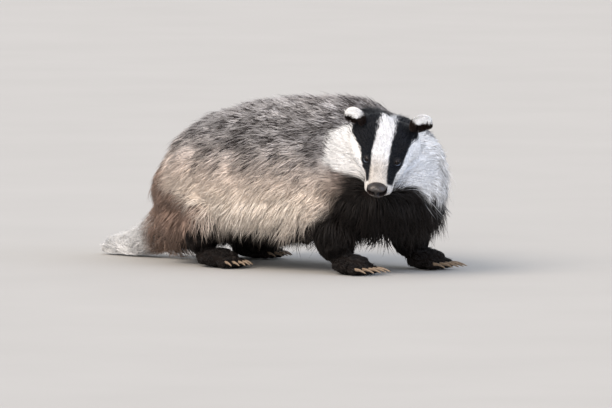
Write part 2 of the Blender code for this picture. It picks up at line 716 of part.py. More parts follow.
class Ground:
    """What the coat lies on: the core, whose faces come first in the search tree, then the legs and the tail."""

    def __init__(self, core, others):
        points, faces = [], []
        for obj in (core, *others):
            first = len(points)
            points.extend(v.co.copy() for v in obj.data.vertices)
            faces.extend([first + v for v in p.vertices] for p in obj.data.polygons)
        self.core_faces = len(core.data.polygons)
        self.tree = BVHTree.FromPolygons(points, faces)
        self.core = BVHTree.FromPolygons(points, faces[:self.core_faces])
        self.others = BVHTree.FromPolygons(points, faces[self.core_faces:])

    def severed(self, spine):
        """Whether a line along the middle of a lock dips into a leg or the tail where it's clear of the core."""
        run = np.linspace(0, len(spine) - 1, 17)
        line = np.stack([np.interp(run, np.arange(len(spine)), column) for column in spine.T], -1)
        for point in line:
            depths = []
            for tree in (self.others, self.core):
                near, normal, _, _ = tree.find_nearest(point)
                depths.append(normal.dot(Vector(point) - near))
            if depths[0] < 0 < depths[1]:
                return True
        return False


def main():
    clear_scene()
    core = body_solid("whole")
    clearance = body_solid("clearance", GAP)
    bites = body_solid("bites", -0.0001)
    draw = np.random.default_rng(SEED)
    others = [leg_solid("outline", leg, GAP) for leg in LEGS.values()]
    others.append(tube("outline", TAIL, 12, 12, grow=GAP, blunt=(1.0, 2.5)))
    ground = Ground(core, others)
    for obj in others:
        bpy.data.objects.remove(obj)
    locks = trunk_locks(ground, draw) + ruff_locks(ground, draw)
    print(len(locks), "locks on trunk and neck")
    whole = boolean(core, locks, "UNION", "MANIFOLD")

    cutters = []
    for name, leg in LEGS.items():
        limb = leg_solid(name, leg)
        boolean(limb, [copy_of(clearance, "clearance_copy"), below_floor()], "DIFFERENCE")
        paint(keep_largest(limb), "black")
        room = leg_solid("room", leg, GAP)
        cutters.append(boolean(room, [copy_of(bites, "bites_copy")], "DIFFERENCE"))
    tail = tail_solid("tail")
    boolean(tail, [copy_of(clearance, "clearance_copy"), below_floor()], "DIFFERENCE", "MANIFOLD")
    paint(keep_largest(tail), "white")
    room = tube("room", TAIL, 12, 12, grow=GAP, blunt=(1.0, 2.5))
    cutters.append(boolean(room, [bites], "DIFFERENCE"))
    boolean(whole, cutters, "DIFFERENCE", "MANIFOLD")

    torso = copy_of(whole, "torso")
    boolean(torso, [beyond(NECK_PLANE, 1), beyond(HEAD_PLANE, 1)], "DIFFERENCE", "MANIFOLD")
    paint(keep_largest(torso), "grizzled")
    neck = copy_of(whole, "neck")
    boolean(neck, [beyond(NECK_PLANE, -1), beyond(HEAD_PLANE, 1)], "DIFFERENCE", "MANIFOLD")
    paint(keep_largest(neck), "white")
    head = copy_of(whole, "head")
    boolean(head, [beyond(HEAD_PLANE, -1)], "DIFFERENCE", "MANIFOLD")
    bpy.data.objects.remove(whole)

    for side, word in ((1, "left"), (-1, "right")):
        eye = ball("eye_" + word, (0, 0, 0), (EYE_RADIUS,) * 3, 10, 8)
        socket = ball("socket", (0, 0, 0), (EYE_RADIUS + GAP,) * 3, 10, 8)
        for piece in (eye, socket):
            piece.data.transform(eye_frame(side))
            to_head(piece)
        boolean(head, [lid_ring(side)], "UNION")
        boolean(head, [socket], "DIFFERENCE")
        paint(eye, "eye")
        ear = ear_solid("ear_" + word, side)
        boolean(ear, [copy_of(clearance, "clearance_copy")], "DIFFERENCE")
        paint(keep_largest(ear), "white")
    boolean(head, [mouth_groove()], "DIFFERENCE")
    paint(keep_largest(head), "black")

    nose = to_head(ball("nose", NOSE_CENTRE, NOSE_HALF, 12, 8))
    x, y, z = NOSTRIL_PLACE
    nostrils = [to_head(ball("nostril", (x, side * y, z), NOSTRIL_HALF, 7, 4)) for side in (1, -1)]
    boolean(nose, [*nostrils, clearance], "DIFFERENCE")
    paint(keep_largest(nose), "nose")
    centre_over_origin()


main()
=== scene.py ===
# %% [markdown]
# # A European badger in its autumn coat
# A badger is built from the inside out, as a natural history museum would build one: first the solid form
# under the hair, then eyes, nose, ears and claws, and last the coat, which makes most of what the eye
# sees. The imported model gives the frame. Everything here is placed in its metres, and the length of the
# coat comes from its solids.

import math

import bmesh
import bpy
import numpy as np
from mathutils import Matrix, Vector
from mathutils.bvhtree import BVHTree
from mathutils.kdtree import KDTree


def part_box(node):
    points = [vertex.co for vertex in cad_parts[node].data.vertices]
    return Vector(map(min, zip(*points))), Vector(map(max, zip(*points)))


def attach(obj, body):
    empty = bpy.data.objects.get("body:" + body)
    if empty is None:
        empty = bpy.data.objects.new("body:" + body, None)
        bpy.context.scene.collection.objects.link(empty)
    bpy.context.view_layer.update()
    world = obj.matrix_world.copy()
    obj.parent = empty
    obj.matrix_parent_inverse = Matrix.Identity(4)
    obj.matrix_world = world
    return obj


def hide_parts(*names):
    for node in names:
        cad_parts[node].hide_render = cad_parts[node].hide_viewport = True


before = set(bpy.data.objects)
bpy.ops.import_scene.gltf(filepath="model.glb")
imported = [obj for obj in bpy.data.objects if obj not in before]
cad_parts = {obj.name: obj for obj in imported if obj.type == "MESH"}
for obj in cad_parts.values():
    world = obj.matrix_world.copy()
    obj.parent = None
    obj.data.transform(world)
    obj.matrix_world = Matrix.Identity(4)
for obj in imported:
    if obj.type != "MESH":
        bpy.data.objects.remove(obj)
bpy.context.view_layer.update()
scene = bpy.context.scene
TAU = 2 * math.pi
print("CAD nodes:", ", ".join(sorted(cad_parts)))

# %% [markdown]
# ## The measures of the animal
# These are the same measures as the solids have. The trunk is a row of stations along a bent spine, the
# skull a row of stations behind the nose, and each leg a tube through a few points. The animal was worked
# out around the middle of its trunk and the solids were then centred, so one shift, read from the eyes,
# carries everything into the frame.

# %% Measures of trunk, skull, legs and tail
# Place along the spine, centre's x, y and z, half width, rise to the back, drop to the fringe, heading.
TRUNK = np.array([
    (0.00, -0.257, 0.000, 0.103, 0.095, 0.053, 0.069, 0.0),
    (0.04, -0.225, 0.000, 0.114, 0.108, 0.076, 0.080, 0.0),
    (0.10, -0.172, 0.000, 0.130, 0.126, 0.098, 0.088, 0.0),
    (0.17, -0.109, 0.000, 0.145, 0.141, 0.111, 0.097, 0.0),
    (0.26, -0.025, 0.000, 0.153, 0.148, 0.120, 0.104, 0.0),
    (0.34, 0.055, 0.000, 0.157, 0.142, 0.124, 0.108, 0.0),
    (0.42, 0.135, 0.000, 0.160, 0.130, 0.120, 0.106, 0.0),
    (0.48, 0.192, -0.012, 0.167, 0.119, 0.108, 0.108, -14.0),
    (0.54, 0.240, -0.045, 0.178, 0.102, 0.092, 0.104, -36.0),
    (0.60, 0.272, -0.088, 0.184, 0.084, 0.074, 0.088, -52.0),
])
TRUNK_LENGTH = 0.60
RUMP_ROUND = 0.122
FRONT_ROUND = 0.040
COAT_DEPTH = 0.015
UPPER_FULLNESS = 0.92
LOWER_FULLNESS = 0.78
HAUNCHES = (((-0.125, -0.066, 0.122), (0.098, 0.070, 0.088)),
            ((-0.150, 0.064, 0.120), (0.090, 0.068, 0.084)))

# The head's own frame has +X out of the nose. Each row has x, half width, top and bottom of the fur.
NOSE_PLACE = (0.3075, -0.1530, 0.1430)
HEAD_YAW, HEAD_PITCH, HEAD_ROLL = -62.0, 38.0, -7.0
SKULL = np.array([
    (-0.160, 0.0610, 0.0530, -0.0540),
    (-0.125, 0.0620, 0.0540, -0.0500),
    (-0.100, 0.0550, 0.0485, -0.0440),
    (-0.078, 0.0450, 0.0400, -0.0380),
    (-0.058, 0.0355, 0.0315, -0.0330),
    (-0.043, 0.0290, 0.0240, -0.0300),
    (-0.027, 0.0245, 0.0175, -0.0270),
    (-0.012, 0.0210, 0.0120, -0.0230),
    (-0.004, 0.0165, 0.0085, -0.0190),
])
MUZZLE_ROUND = 0.012
OCCIPUT_ROUND = 0.050
FACE_FUR = 0.0018

NOSE_CENTRE = np.array([-0.0030, 0.0, 0.0])
NOSE_HALF = np.array([0.0120, 0.0168, 0.0124])
EYE_PLACE = (-0.0560, 0.0232, 0.0165)
EYE_RADIUS = 0.0064
EYE_FACING = (0.70, 0.60, 0.38)
MOUTH_CORNER = -0.054
MOUTH_LEVEL = -0.0165
EAR_PLACE = (-0.117, 0.0530, 0.0450)
EAR_OUT, EAR_LEAN = 30.0, 10.0

# Each leg has rows of x, y, z and radius, then its paw's place, half sizes, claws' length and turn.
LEGS = {
    "front_right": (((0.120, -0.060, 0.146, 0.037), (0.136, -0.074, 0.110, 0.038),
                     (0.157, -0.083, 0.070, 0.035), (0.170, -0.082, 0.036, 0.030),
                     (0.178, -0.082, 0.022, 0.025)),
                    (0.195, -0.082), (0.036, 0.0290, 0.0190), 0.024, -4.0),
    "front_left": (((0.130, 0.062, 0.146, 0.037), (0.146, 0.080, 0.110, 0.038),
                    (0.169, 0.090, 0.070, 0.035), (0.184, 0.090, 0.036, 0.030),
                    (0.192, 0.090, 0.022, 0.025)),
                   (0.210, 0.090), (0.036, 0.0290, 0.0190), 0.024, 2.0),
    "hind_right": (((-0.090, -0.066, 0.136, 0.040), (-0.082, -0.088, 0.105, 0.041),
                    (-0.094, -0.097, 0.068, 0.035), (-0.106, -0.098, 0.038, 0.028),
                    (-0.102, -0.098, 0.022, 0.024)),
                   (-0.072, -0.099), (0.046, 0.0260, 0.0175), 0.013, -5.0),
    "hind_left": (((-0.170, 0.064, 0.136, 0.040), (-0.164, 0.084, 0.105, 0.041),
                   (-0.176, 0.093, 0.068, 0.035), (-0.190, 0.094, 0.038, 0.028),
                   (-0.186, 0.094, 0.022, 0.024)),
                  (-0.156, 0.095), (0.046, 0.0260, 0.0175), 0.013, 6.0),
}
PAW_RISE = 0.0155
TOES = 5
TOE_HALF = (0.0120, 0.0066, 0.0080)
TOE_ARC = 9.0
TAIL = np.array([
    (-0.200, 0.000, 0.116, 0.024),
    (-0.233, 0.001, 0.096, 0.028),
    (-0.257, 0.002, 0.068, 0.030),
    (-0.282, 0.004, 0.041, 0.028),
    (-0.322, 0.007, 0.023, 0.023),
    (-0.362, 0.009, 0.016, 0.018),
    (-0.402, 0.009, 0.012, 0.011),
])
TAIL_CORE = 0.62
print(len(TRUNK), "stations of the trunk,", len(SKULL), "of the skull,", len(LEGS), "legs")

# %% [markdown]
# ### The head's own frame
# The head is turned, lowered and tilted, so its parts are placed in a frame of its own and then carried
# over.


# %% Frames
def turned(degrees, axis):
    """Rotation by degrees about one axis, as a 3 by 3 array that multiplies columns."""
    return np.array(Matrix.Rotation(math.radians(degrees), 3, axis))


HEAD_TURN = turned(HEAD_YAW, "Z") @ turned(HEAD_PITCH, "Y") @ turned(HEAD_ROLL, "X")


def from_head(points):
    """Points of the head's frame carried to the body: turned by the head's rotation, moved to the nose."""
    return np.asarray(points) @ HEAD_TURN.T + NOSE_PLACE


def in_head(points):
    """Points of the body seen in the head's own frame, the reverse of from_head."""
    return (np.asarray(points) - NOSE_PLACE) @ HEAD_TURN


def on_side(place, side):
    """A place of the head's frame on the left, side 1, or mirrored to the right, side -1: y times side."""
    return np.array(place) * (1, side, 1)


def towards(turn, rise):
    """Way to a point in the sky by its heading, counted from the right side to the front, and its rise:
    sine and minus cosine of the heading, each times the cosine of the rise, and the sine of the rise."""
    return np.array([math.sin(turn) * math.cos(rise), -math.cos(turn) * math.cos(rise), math.sin(rise)])


def circle(count):
    """Angles of count points round a circle, in equal steps of the full turn."""
    return np.linspace(0, TAU, count, endpoint=False)


SIDES = ((1, "left"), (-1, "right"))
eye_middle = sum(np.array(corner) for _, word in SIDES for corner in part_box("eye_" + word)) / 4
SHIFT = eye_middle - from_head(on_side(EYE_PLACE, 0))
print("the frame lies", np.round(SHIFT * 1000, 1), "mm from where the animal was worked out")

# %% [markdown]
# ## Camera, floor and light
# The camera stands where the photographer's did, off the animal's right shoulder and a little above its
# back, far away with a long lens, so that head and rump have the same scale. The floor is a plain pale
# disc, wide enough for every low view. Three broad suns make a soft light: a warm one from the left and
# above, a weak cool one from the right, which gives one cheek its cream and the other its blue, and a low
# one in front for the gleam in the eyes.

# %% Camera
CAMERA_TURN, CAMERA_RISE = math.radians(40.0), math.radians(4.0)
CAMERA_DISTANCE = 24.0
LENS = 871.6
LOOK_ACROSS, LOOK_UP = 0.0243, 0.1004

right = np.array([math.cos(CAMERA_TURN), math.sin(CAMERA_TURN), 0.0])
backward = towards(CAMERA_TURN, CAMERA_RISE)
upward = np.cross(backward, right)
looked_at = right * LOOK_ACROSS + upward * LOOK_UP + SHIFT
camera = bpy.data.objects.new("camera", bpy.data.cameras.new("camera"))
camera.data.lens = LENS
camera.data.sensor_width = 36.0
camera.data.clip_end = 200.0
camera.location = looked_at + backward * CAMERA_DISTANCE
camera.rotation_euler = Vector(backward).to_track_quat("Z", "Y").to_euler()
scene.collection.objects.link(camera)
scene.camera = camera
print("camera at", np.round(camera.location, 2))

# %% [markdown]
# ## Helpers for colour, nodes and meshes
# A colour is written as it looks on a screen and turned to linear light once. A material is a small graph
# of nodes, and one function adds any of them. A mesh is filled from whole arrays, which is much faster
# than adding its points one at a time.


# %% Colour and node helpers
def linear(code):
    """Linear colour of an sRGB hex value: c / 12.92 when dark, otherwise ((c + 0.055) / 1.055) to the
    power 2.4."""
    c = np.array([int(code[i:i + 2], 16) for i in (1, 3, 5)]) / 255
    return np.where(c <= 0.04045, c / 12.92, ((c + 0.055) / 1.055) ** 2.4)


def node(tree, kind, settings=None, links=None):
    """Adds a shader node. A setting or a link names an input, by name or number, or else a property."""
    made = tree.nodes.new("ShaderNode" + kind)
    for name, value in (settings or {}).items():
        if isinstance(name, int) or name in made.inputs:
            made.inputs[name].default_value = value
        else:
            setattr(made, name, value)
    for name, source in (links or {}).items():
        tree.links.new(source, made.inputs[name])
    return made


def material(name):
    """New material with an empty graph, and that graph."""
    made = bpy.data.materials.new(name)
    made.use_nodes = True
    made.node_tree.nodes.clear()
    return made, made.node_tree


def attribute(tree, name, output="Fac"):
    """What an attribute of the mesh says at the point that is shaded."""
    return node(tree, "Attribute", {"attribute_name": name}).outputs[output]


def noise(tree, scale, detail):
    """Soft noise in the object's own metres, so its grains measure about one over the scale."""
    place = node(tree, "TexCoord").outputs["Object"]
    return node(tree, "TexNoise", {"Scale": scale, "Detail": detail}, {"Vector": place}).outputs["Fac"]


def ramp(tree, value, *stops):
    """Colour by a value, with straight runs between stops, each a place and its grey or colour."""
    made = node(tree, "ValToRGB", {}, {0: value})
    elements = made.color_ramp.elements
    for n, (place, colour) in enumerate(stops):
        element = elements[n] if n < 2 else elements.new(place)
        element.position = place
        element.color = (*(np.ones(3) * colour), 1.0)
    return made.outputs[0]


def blend(tree, share, first, second):
    """Goes from the first colour to the second, which is a constant, as the share goes from 0 to 1."""
    return node(tree, "Mix", {"data_type": "RGBA", 7: (*second, 1.0)}, {0: share, 6: first}).outputs[2]


def times(tree, first, second):
    """Two colours multiplied, channel by channel."""
    settings = {"data_type": "RGBA", "blend_type": "MULTIPLY", 0: 1.0}
    return node(tree, "Mix", settings, {6: first, 7: second}).outputs[2]


def bump(tree, height, strength, distance):
    """Normal tilted by a height, by a strength and the distance in metres that a height of 1 stands for."""
    return node(tree, "Bump", {"Strength": strength, "Distance": distance}, {"Height": height}).outputs[0]


def surface(tree, settings, colour, normal=None):
    """Ends a graph: a surface with its settings, colour and normal goes to the output."""
    links = {"Base Color": colour} if normal is None else {"Base Color": colour, "Normal": normal}
    shader = node(tree, "BsdfPrincipled", settings, links)
    node(tree, "OutputMaterial", {}, {"Surface": shader.outputs[0]})


print("middle grey is", np.round(linear("#808080"), 3), "in linear light")


# %% Mesh helpers
def new_mesh(name, points, faces, smooth=True):
    """Mesh object from an array of points and one of faces, which all have the same number of corners."""
    mesh = bpy.data.meshes.new(name)
    faces = np.asarray(faces, np.int32)
    mesh.vertices.add(len(points))
    mesh.vertices.foreach_set("co", (np.asarray(points) + SHIFT).astype(np.float32).ravel())
    mesh.loops.add(faces.size)
    mesh.loops.foreach_set("vertex_index", faces.ravel())
    mesh.polygons.add(len(faces))
    mesh.polygons.foreach_set("loop_start", np.arange(0, faces.size, faces.shape[1], dtype=np.int32))
    mesh.update(calc_edges=True)
    mesh.polygons.foreach_set("use_smooth", np.full(len(faces), smooth))
    made = bpy.data.objects.new(name, mesh)
    scene.collection.objects.link(made)
    return made


def grid_faces(rings, sides):
    """Quads of a closed tube of rings with sides points each, numbered ring by ring."""
    r, s = np.meshgrid(np.arange(rings - 1), np.arange(sides), indexing="ij")
    low, high, n = r * sides, (r + 1) * sides, (s + 1) % sides
    return np.stack([low + s, low + n, high + n, high + s], -1).reshape(-1, 4)


def capped(points):
    """A grid of rings made one closed skin: each end ring is drawn to its middle, and the middles are
    quads too."""
    rings, sides, _ = points.shape
    ends = [np.repeat(points[i].mean(0)[None], sides, 0) for i in (0, -1)]
    stack = np.concatenate([ends[0][None], points, ends[1][None]])
    return stack.reshape(-1, 3), grid_faces(rings + 2, sides)


def cleaned(mesh):
    """Merges a mesh's doubled points and turns its faces outward."""
    work = bmesh.new()
    work.from_mesh(mesh)
    bmesh.ops.remove_doubles(work, verts=work.verts, dist=1e-6)
    bmesh.ops.recalc_face_normals(work, faces=work.faces)
    work.to_mesh(mesh)
    work.free()


def mark(made, name, values):
    """Keeps a number for each point of an object's mesh, which its material reads."""
    made.data.attributes.new(name, "FLOAT", "POINT").data.foreach_set("value", values.astype(np.float32))


def paint(made, colours):
    """Keeps each point's marking: its colour, and in the alpha the strength of the dark band."""
    marks = made.data.color_attributes.new("marking", "FLOAT_COLOR", "POINT")
    marks.data.foreach_set("color", colours.astype(np.float32).ravel())


def closed_piece(name, grids):
    """One object from grids of rings, each capped."""
    points, faces, first = [], [], 0
    for grid in grids:
        p, f = capped(grid)
        points.append(p)
        faces.append(f + first)
        first += len(p)
    made = new_mesh(name, np.concatenate(points), np.concatenate(faces))
    cleaned(made.data)
    return made


# %% Helpers for numbers and vectors
def ease(share):
    """Smooth step from 0 to 1: 3 s squared less 2 s cubed, with s held between 0 and 1."""
    s = np.clip(share, 0.0, 1.0)
    return s * s * (3 - 2 * s)


def mix(a, b, share):
    """Numbers that are a where share is 0 and b where it is 1: a plus the share of their difference."""
    return a + (b - a) * share


def mix_rows(a, b, share):
    """The same for rows of colours or vectors, with one share for each row."""
    return a + (b - a) * np.asarray(share)[:, None]


def read(table, place):
    """Second column of a table at places of its first, with straight runs between the rows."""
    return np.interp(place, *table.T)


def unit(vectors):
    """Vectors of length one: each divided by its own length."""
    return vectors / np.maximum(np.linalg.norm(vectors, axis=-1, keepdims=True), 1e-9)


def laid(way, normal):
    """Ways laid flat on a surface: what points along the normal is taken off."""
    return unit(way - (way * normal).sum(1, keepdims=True) * normal)


def blob(points, centre, size):
    """Soft bump: e to the power of minus the squared distance from centre, measured in sizes."""
    return np.exp(-(((points - np.array(centre)) / np.array(size)) ** 2).sum(-1))


# %% [markdown]
# ## Studio floor and light
# The floor is one wide disc of matte board. A sun is set by its heading and rise and by how strong, warm
# and broad it is, and a pale sky fills the shade.

# %% Floor, suns and sky
FLOOR_RADIUS = 60.0
FLOOR_CORNERS = 96
floor_turn = circle(FLOOR_CORNERS)
floor_points = FLOOR_RADIUS * np.stack([np.cos(floor_turn), np.sin(floor_turn), 0 * floor_turn], -1)
floor = new_mesh("studio_floor", floor_points, np.arange(FLOOR_CORNERS)[None, :], smooth=False)
# Matte painted board: no gloss, so the floor only carries the soft contact shadow.
paper, tree = material("matte_painted_board")
board = ramp(tree, noise(tree, 3.0, 3.0), (0.3, linear("#a9a7a4")), (0.7, linear("#acaaa7")))
surface(tree, {"Roughness": 0.95, "Specular IOR Level": 0.1}, board)
floor.data.materials.append(paper)


def sun(name, turn, rise, strength, colour, spread):
    """Broad sun that shines from a heading and a rise in degrees, with an angular size in degrees."""
    lamp = bpy.data.lights.new(name, "SUN")
    lamp.energy = strength
    lamp.color = tuple(linear(colour))
    lamp.angle = math.radians(spread)
    made = bpy.data.objects.new(name, lamp)
    origin = Vector(towards(math.radians(turn), math.radians(rise)))
    made.rotation_euler = origin.to_track_quat("Z", "Y").to_euler()
    scene.collection.objects.link(made)


sun("warm_key", -8.0, 42.0, 2.8, "#fff0e0", 35.0)
sun("cool_fill", 92.0, 32.0, 1.4, "#cfe0ff", 50.0)
sun("front_light", 28.0, 14.0, 1.0, "#fff8f0", 22.0)
scene.view_settings.view_transform = "Standard"
world = bpy.data.worlds.new("studio_sky")
scene.world = world
world.use_nodes = True
sky = world.node_tree.nodes["Background"].inputs
sky["Color"].default_value = (*linear("#f1f4f9"), 1.0)
sky["Strength"].default_value = 1.0
print("floor, three suns and a pale sky")


# %% [markdown]
# ## The surface functions
# Each part of the body is a function of two numbers: how far along, and which way round. The same
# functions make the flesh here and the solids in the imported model; here they are drawn in by the depth of
# the coat.

# %% Surfaces of trunk, skull, limbs and balls
def smooth(rows, at):
    """Columns of rows at the places at, on cubic pieces through every row with matching slopes."""
    places, values = rows[:, 0], rows[:, 1:]
    slopes = np.gradient(values, places, axis=0)
    at = np.clip(at, places[0], places[-1])
    i = np.clip(np.searchsorted(places, at, side="right") - 1, 0, len(places) - 2)
    span = (places[i + 1] - places[i])[..., None]
    t = (at - places[i])[..., None] / span
    return ((2 * t**3 - 3 * t**2 + 1) * values[i] + (t**3 - 2 * t**2 + t) * span * slopes[i]
            + (3 * t**2 - 2 * t**3) * values[i + 1] + (t**3 - t**2) * span * slopes[i + 1])


def dome(share):
    """Height of a quarter circle: 0 at share 0 and 1 from share 1 on."""
    return np.sqrt(np.clip(1 - (1 - np.clip(share, 0, 1)) ** 2, 0, 1))


def bulge(angle, fullness):
    """Cosine and sine of angle, each to the power fullness, which pushes a circle out towards a box."""
    c, s = np.cos(angle), np.sin(angle)
    return np.sign(c) * np.abs(c) ** fullness, np.sign(s) * np.abs(s) ** fullness


def trunk(along, around, inset):
    """Trunk and neck: a fuller-than-round section around the spine's centre, its half width to either
    side, its rise above and its drop below, all less the inset, closed by a quarter round at either
    end."""
    along, around = np.broadcast_arrays(along, around)
    x, y, z, wide, rise, drop, heading = np.moveaxis(smooth(TRUNK, along), -1, 0)
    ends = dome((along - inset) / RUMP_ROUND) * dome((TRUNK_LENGTH - inset - along) / FRONT_ROUND)
    upper, lower = bulge(around, UPPER_FULLNESS), bulge(around, LOWER_FULLNESS)
    is_upper = np.sin(around) > 0
    side = (wide - inset) * ends * np.where(is_upper, upper[0], lower[0])
    up = np.where(is_upper, (rise - inset) * upper[1], (drop - inset) * lower[1]) * ends
    heading = np.radians(heading)
    return np.stack([x - np.sin(heading) * side, y + np.cos(heading) * side, z + up], -1)


def skull(behind, around, inset):
    """Head in its own frame: a section round the muzzle's axis by the stations' width, top and bottom."""
    behind, around = np.broadcast_arrays(behind, around)
    wide, top, bottom = np.moveaxis(smooth(SKULL, behind), -1, 0)
    first, last = SKULL[-1, 0] - inset, SKULL[0, 0] + inset
    ends = dome(0.2 + (first - behind) / MUZZLE_ROUND) * dome((behind - last) / OCCIPUT_ROUND)
    middle, half = (top + bottom) / 2, (top - bottom) / 2
    c, s = bulge(around, UPPER_FULLNESS)
    return np.stack([behind, (wide - inset) * ends * c, middle + (half - inset) * ends * s], -1)


def unit_ball(rings, sides, start=0.0):
    """Points of a unit ball in rings round X, from the angle start off one pole to as far off the other:
    cosine of that angle, then its sine times the cosine and times the sine of the turn."""
    polar = np.linspace(start, math.pi - start, rings)[:, None]
    around = circle(sides)[None, :]
    return np.stack([np.cos(polar) + 0 * around, np.sin(polar) * np.cos(around),
                     np.sin(polar) * np.sin(around)], -1)


def ball(centre, half, rings=20, sides=28, turn=None):
    """Ellipsoid: a unit ball's rings from pole to pole, stretched by half, turned and moved to centre."""
    points = unit_ball(rings, sides, 0.04)[..., [1, 2, 0]] * half
    return points @ (np.eye(3) if turn is None else turn).T + centre


def limb(rows, inset, rings=26, sides=20, blunt=(1.0, 1.0)):
    """Round tube through rows of x, y, z and radius, less the inset, with a round end at either side."""
    rows = np.array(rows, float)
    steps = np.concatenate([[0.0], np.cumsum(np.linalg.norm(np.diff(rows[:, :3], axis=0), axis=1))])
    places = steps[-1] * (1 - np.cos(np.linspace(0, math.pi, rings))) / 2
    values = smooth(np.column_stack([steps, rows]), places)
    centre, radius = values[:, :3], values[:, 3] - inset
    way = unit(np.gradient(centre, places, axis=0))
    across = unit(np.cross(way, (0.0, 1.0, 0.0)))
    other = np.cross(way, across)
    ends = dome(places / (blunt[0] * radius[0])) * dome((steps[-1] - places) / (blunt[1] * radius[-1]))
    size = (radius * np.maximum(ends, 0.03))[:, None, None]
    turn = circle(sides)[None, :, None]
    return centre[:, None, :] + size * (np.cos(turn) * across[:, None, :] + np.sin(turn) * other[:, None, :])


# %% [markdown]
# ## The body under the coat
# Under its hair a badger is a wedge: a long narrow muzzle, a broad skull, a short neck, a barrel of a
# trunk and short strong legs. The parts are lofted apart, melted into one skin by a voxel remesh, which
# leaves no seam between leg and belly or head and neck, and smoothed. The head is then cut finer, because
# it carries the most detail, and shaped like soft clay with small bumps and hollows: brows, eye sockets,
# cheekbones, whisker pads, the furrow under the nose and the line of the mouth.

# %% Loft the parts and melt them into one skin
# Depth of the fur on limbs and toes, the toes' height and how far they stay inside the paw, the voxels' size.
LIMB_FUR, TOE_FUR = 0.0025, 0.0007
TOE_RISE, TOE_INSET = 0.0085, 0.0055
VOXEL = 0.0031
# Rings along the trunk and the skull, points in a ring, and how far the trunk's rings stay off its ends.
RINGS, RING_POINTS = 60, 64
END_GAP = 0.0015
full_turn = circle(RING_POINTS)[None, :]
in_step = (1 - np.cos(np.linspace(0, math.pi, RINGS))) / 2
trunk_places = COAT_DEPTH + END_GAP + (TRUNK_LENGTH - 2 * COAT_DEPTH - 2 * END_GAP) * in_step
skull_front, skull_back = SKULL[-1, 0] - FACE_FUR, SKULL[0, 0] + FACE_FUR
skull_share = np.linspace(0, 1, RINGS) ** 1.4
skull_places = skull_front - 0.0002 + (skull_back + 0.001 - skull_front) * skull_share
parts = [trunk(trunk_places[:, None], full_turn, COAT_DEPTH),
         from_head(skull(skull_places[:, None], full_turn, FACE_FUR))]
parts += [ball(centre, np.array(half) - COAT_DEPTH) for centre, half in HAUNCHES]
toe_places = []
for name, (path, (paw_x, paw_y), (long, wide, high), claw_length, turn) in LEGS.items():
    parts.append(limb(path, LIMB_FUR))
    spin = turned(turn, "Z")
    shrunk = np.array((long, wide, high)) - LIMB_FUR
    parts.append(ball((paw_x, paw_y, PAW_RISE), shrunk, turn=spin))
    for n in range(TOES):
        share = 2 * n / (TOES - 1) - 1
        spread = turn - TOE_ARC * share
        start = spin @ (long * (0.86 - 0.16 * share * share), -share * (wide - TOE_INSET), 0.0)
        root = np.array((paw_x, paw_y, TOE_RISE)) + start
        parts.append(ball(root, np.array(TOE_HALF) - TOE_FUR, 12, 16, turned(spread, "Z")))
        toe_places.append((name, root, math.radians(spread), claw_length))
parts.append(limb(TAIL * (1, 1, 1, TAIL_CORE), 0.0, blunt=(1.0, 2.5)))

skin = closed_piece("badger_skin", parts)
melt = skin.modifiers.new("melt", "REMESH")
melt.mode = "VOXEL"
melt.voxel_size = VOXEL
melted = bpy.data.meshes.new_from_object(skin.evaluated_get(bpy.context.evaluated_depsgraph_get()))
skin.modifiers.clear()
skin.data = melted
print("melted skin has", len(melted.polygons), "faces")


# %% Smooth the skin and cut the head finer
# The skin is cut finer in front of a place behind the nose, down to a height and out to either side in the
# head's frame, and drawn in under the ruff by a depth.
FINE_FROM, FINE_LOW, FINE_WIDE = -0.105, -0.055, 0.062
NAPE_HOLLOW = 0.010


def fetch(items, what, width, kind=float):
    """One array from all points, edges or triangles of a mesh, with a row of width numbers for each."""
    values = np.zeros(len(items) * width, kind)
    items.foreach_get(what, values)
    return values.reshape(-1, width)


def positions(mesh):
    """The mesh's points, in the frame in which the animal was worked out."""
    return fetch(mesh.vertices, "co", 3) - SHIFT


def put(mesh, points):
    """Writes an array of points back into the mesh."""
    mesh.vertices.foreach_set("co", (points + SHIFT).ravel())
    mesh.update()


def normals_of(mesh):
    """The mesh's normals at its points."""
    return fetch(mesh.vertices, "normal", 3)


def relaxed(points, pairs, rounds, pull=0.5, push=-0.52):
    """Smooth points: each goes a share pull towards the mean of its neighbours and then back by push,
    which takes out steps and keeps the volume."""
    count = np.bincount(pairs.ravel(), minlength=len(points))[:, None]
    for step in np.tile([pull, push], rounds):
        total = np.zeros_like(points)
        for a, b in ((0, 1), (1, 0)):
            for axis in range(3):
                total[:, axis] += np.bincount(pairs[:, a], points[pairs[:, b], axis], len(points))
        points = points + step * (total / np.maximum(count, 1) - points)
    return points


def edges_of(mesh):
    """Pairs of point numbers, one for each edge."""
    return fetch(mesh.edges, "vertices", 2, np.int32)


put(skin.data, relaxed(positions(skin.data), edges_of(skin.data), 6))
# On the left, outside the neck's bend, the ruff is deep and stands out, so the skin is drawn in under it.
skin_places = positions(skin.data)
beside = skin_places[:, 1] - np.interp(skin_places[:, 0], TRUNK[:, 1], TRUNK[:, 2])
drawn_in = (NAPE_HOLLOW * ease((skin_places[:, 0] - 0.12) / 0.06) * ease((beside + 0.01) / 0.03)
            * ease((skin_places[:, 2] - 0.11) / 0.08))
put(skin.data, skin_places - normals_of(skin.data) * drawn_in[:, None])
work = bmesh.new()
work.from_mesh(skin.data)
seen = in_head(positions(skin.data))
fine = (seen[:, 0] > FINE_FROM) & (seen[:, 2] > FINE_LOW) & (np.abs(seen[:, 1]) < FINE_WIDE)
work.verts.ensure_lookup_table()
chosen = [edge for edge in work.edges if fine[edge.verts[0].index] and fine[edge.verts[1].index]]
bmesh.ops.subdivide_edges(work, edges=chosen, cuts=1, use_grid_fill=True)
work.to_mesh(skin.data)
work.free()
put(skin.data, relaxed(positions(skin.data), edges_of(skin.data), 3))
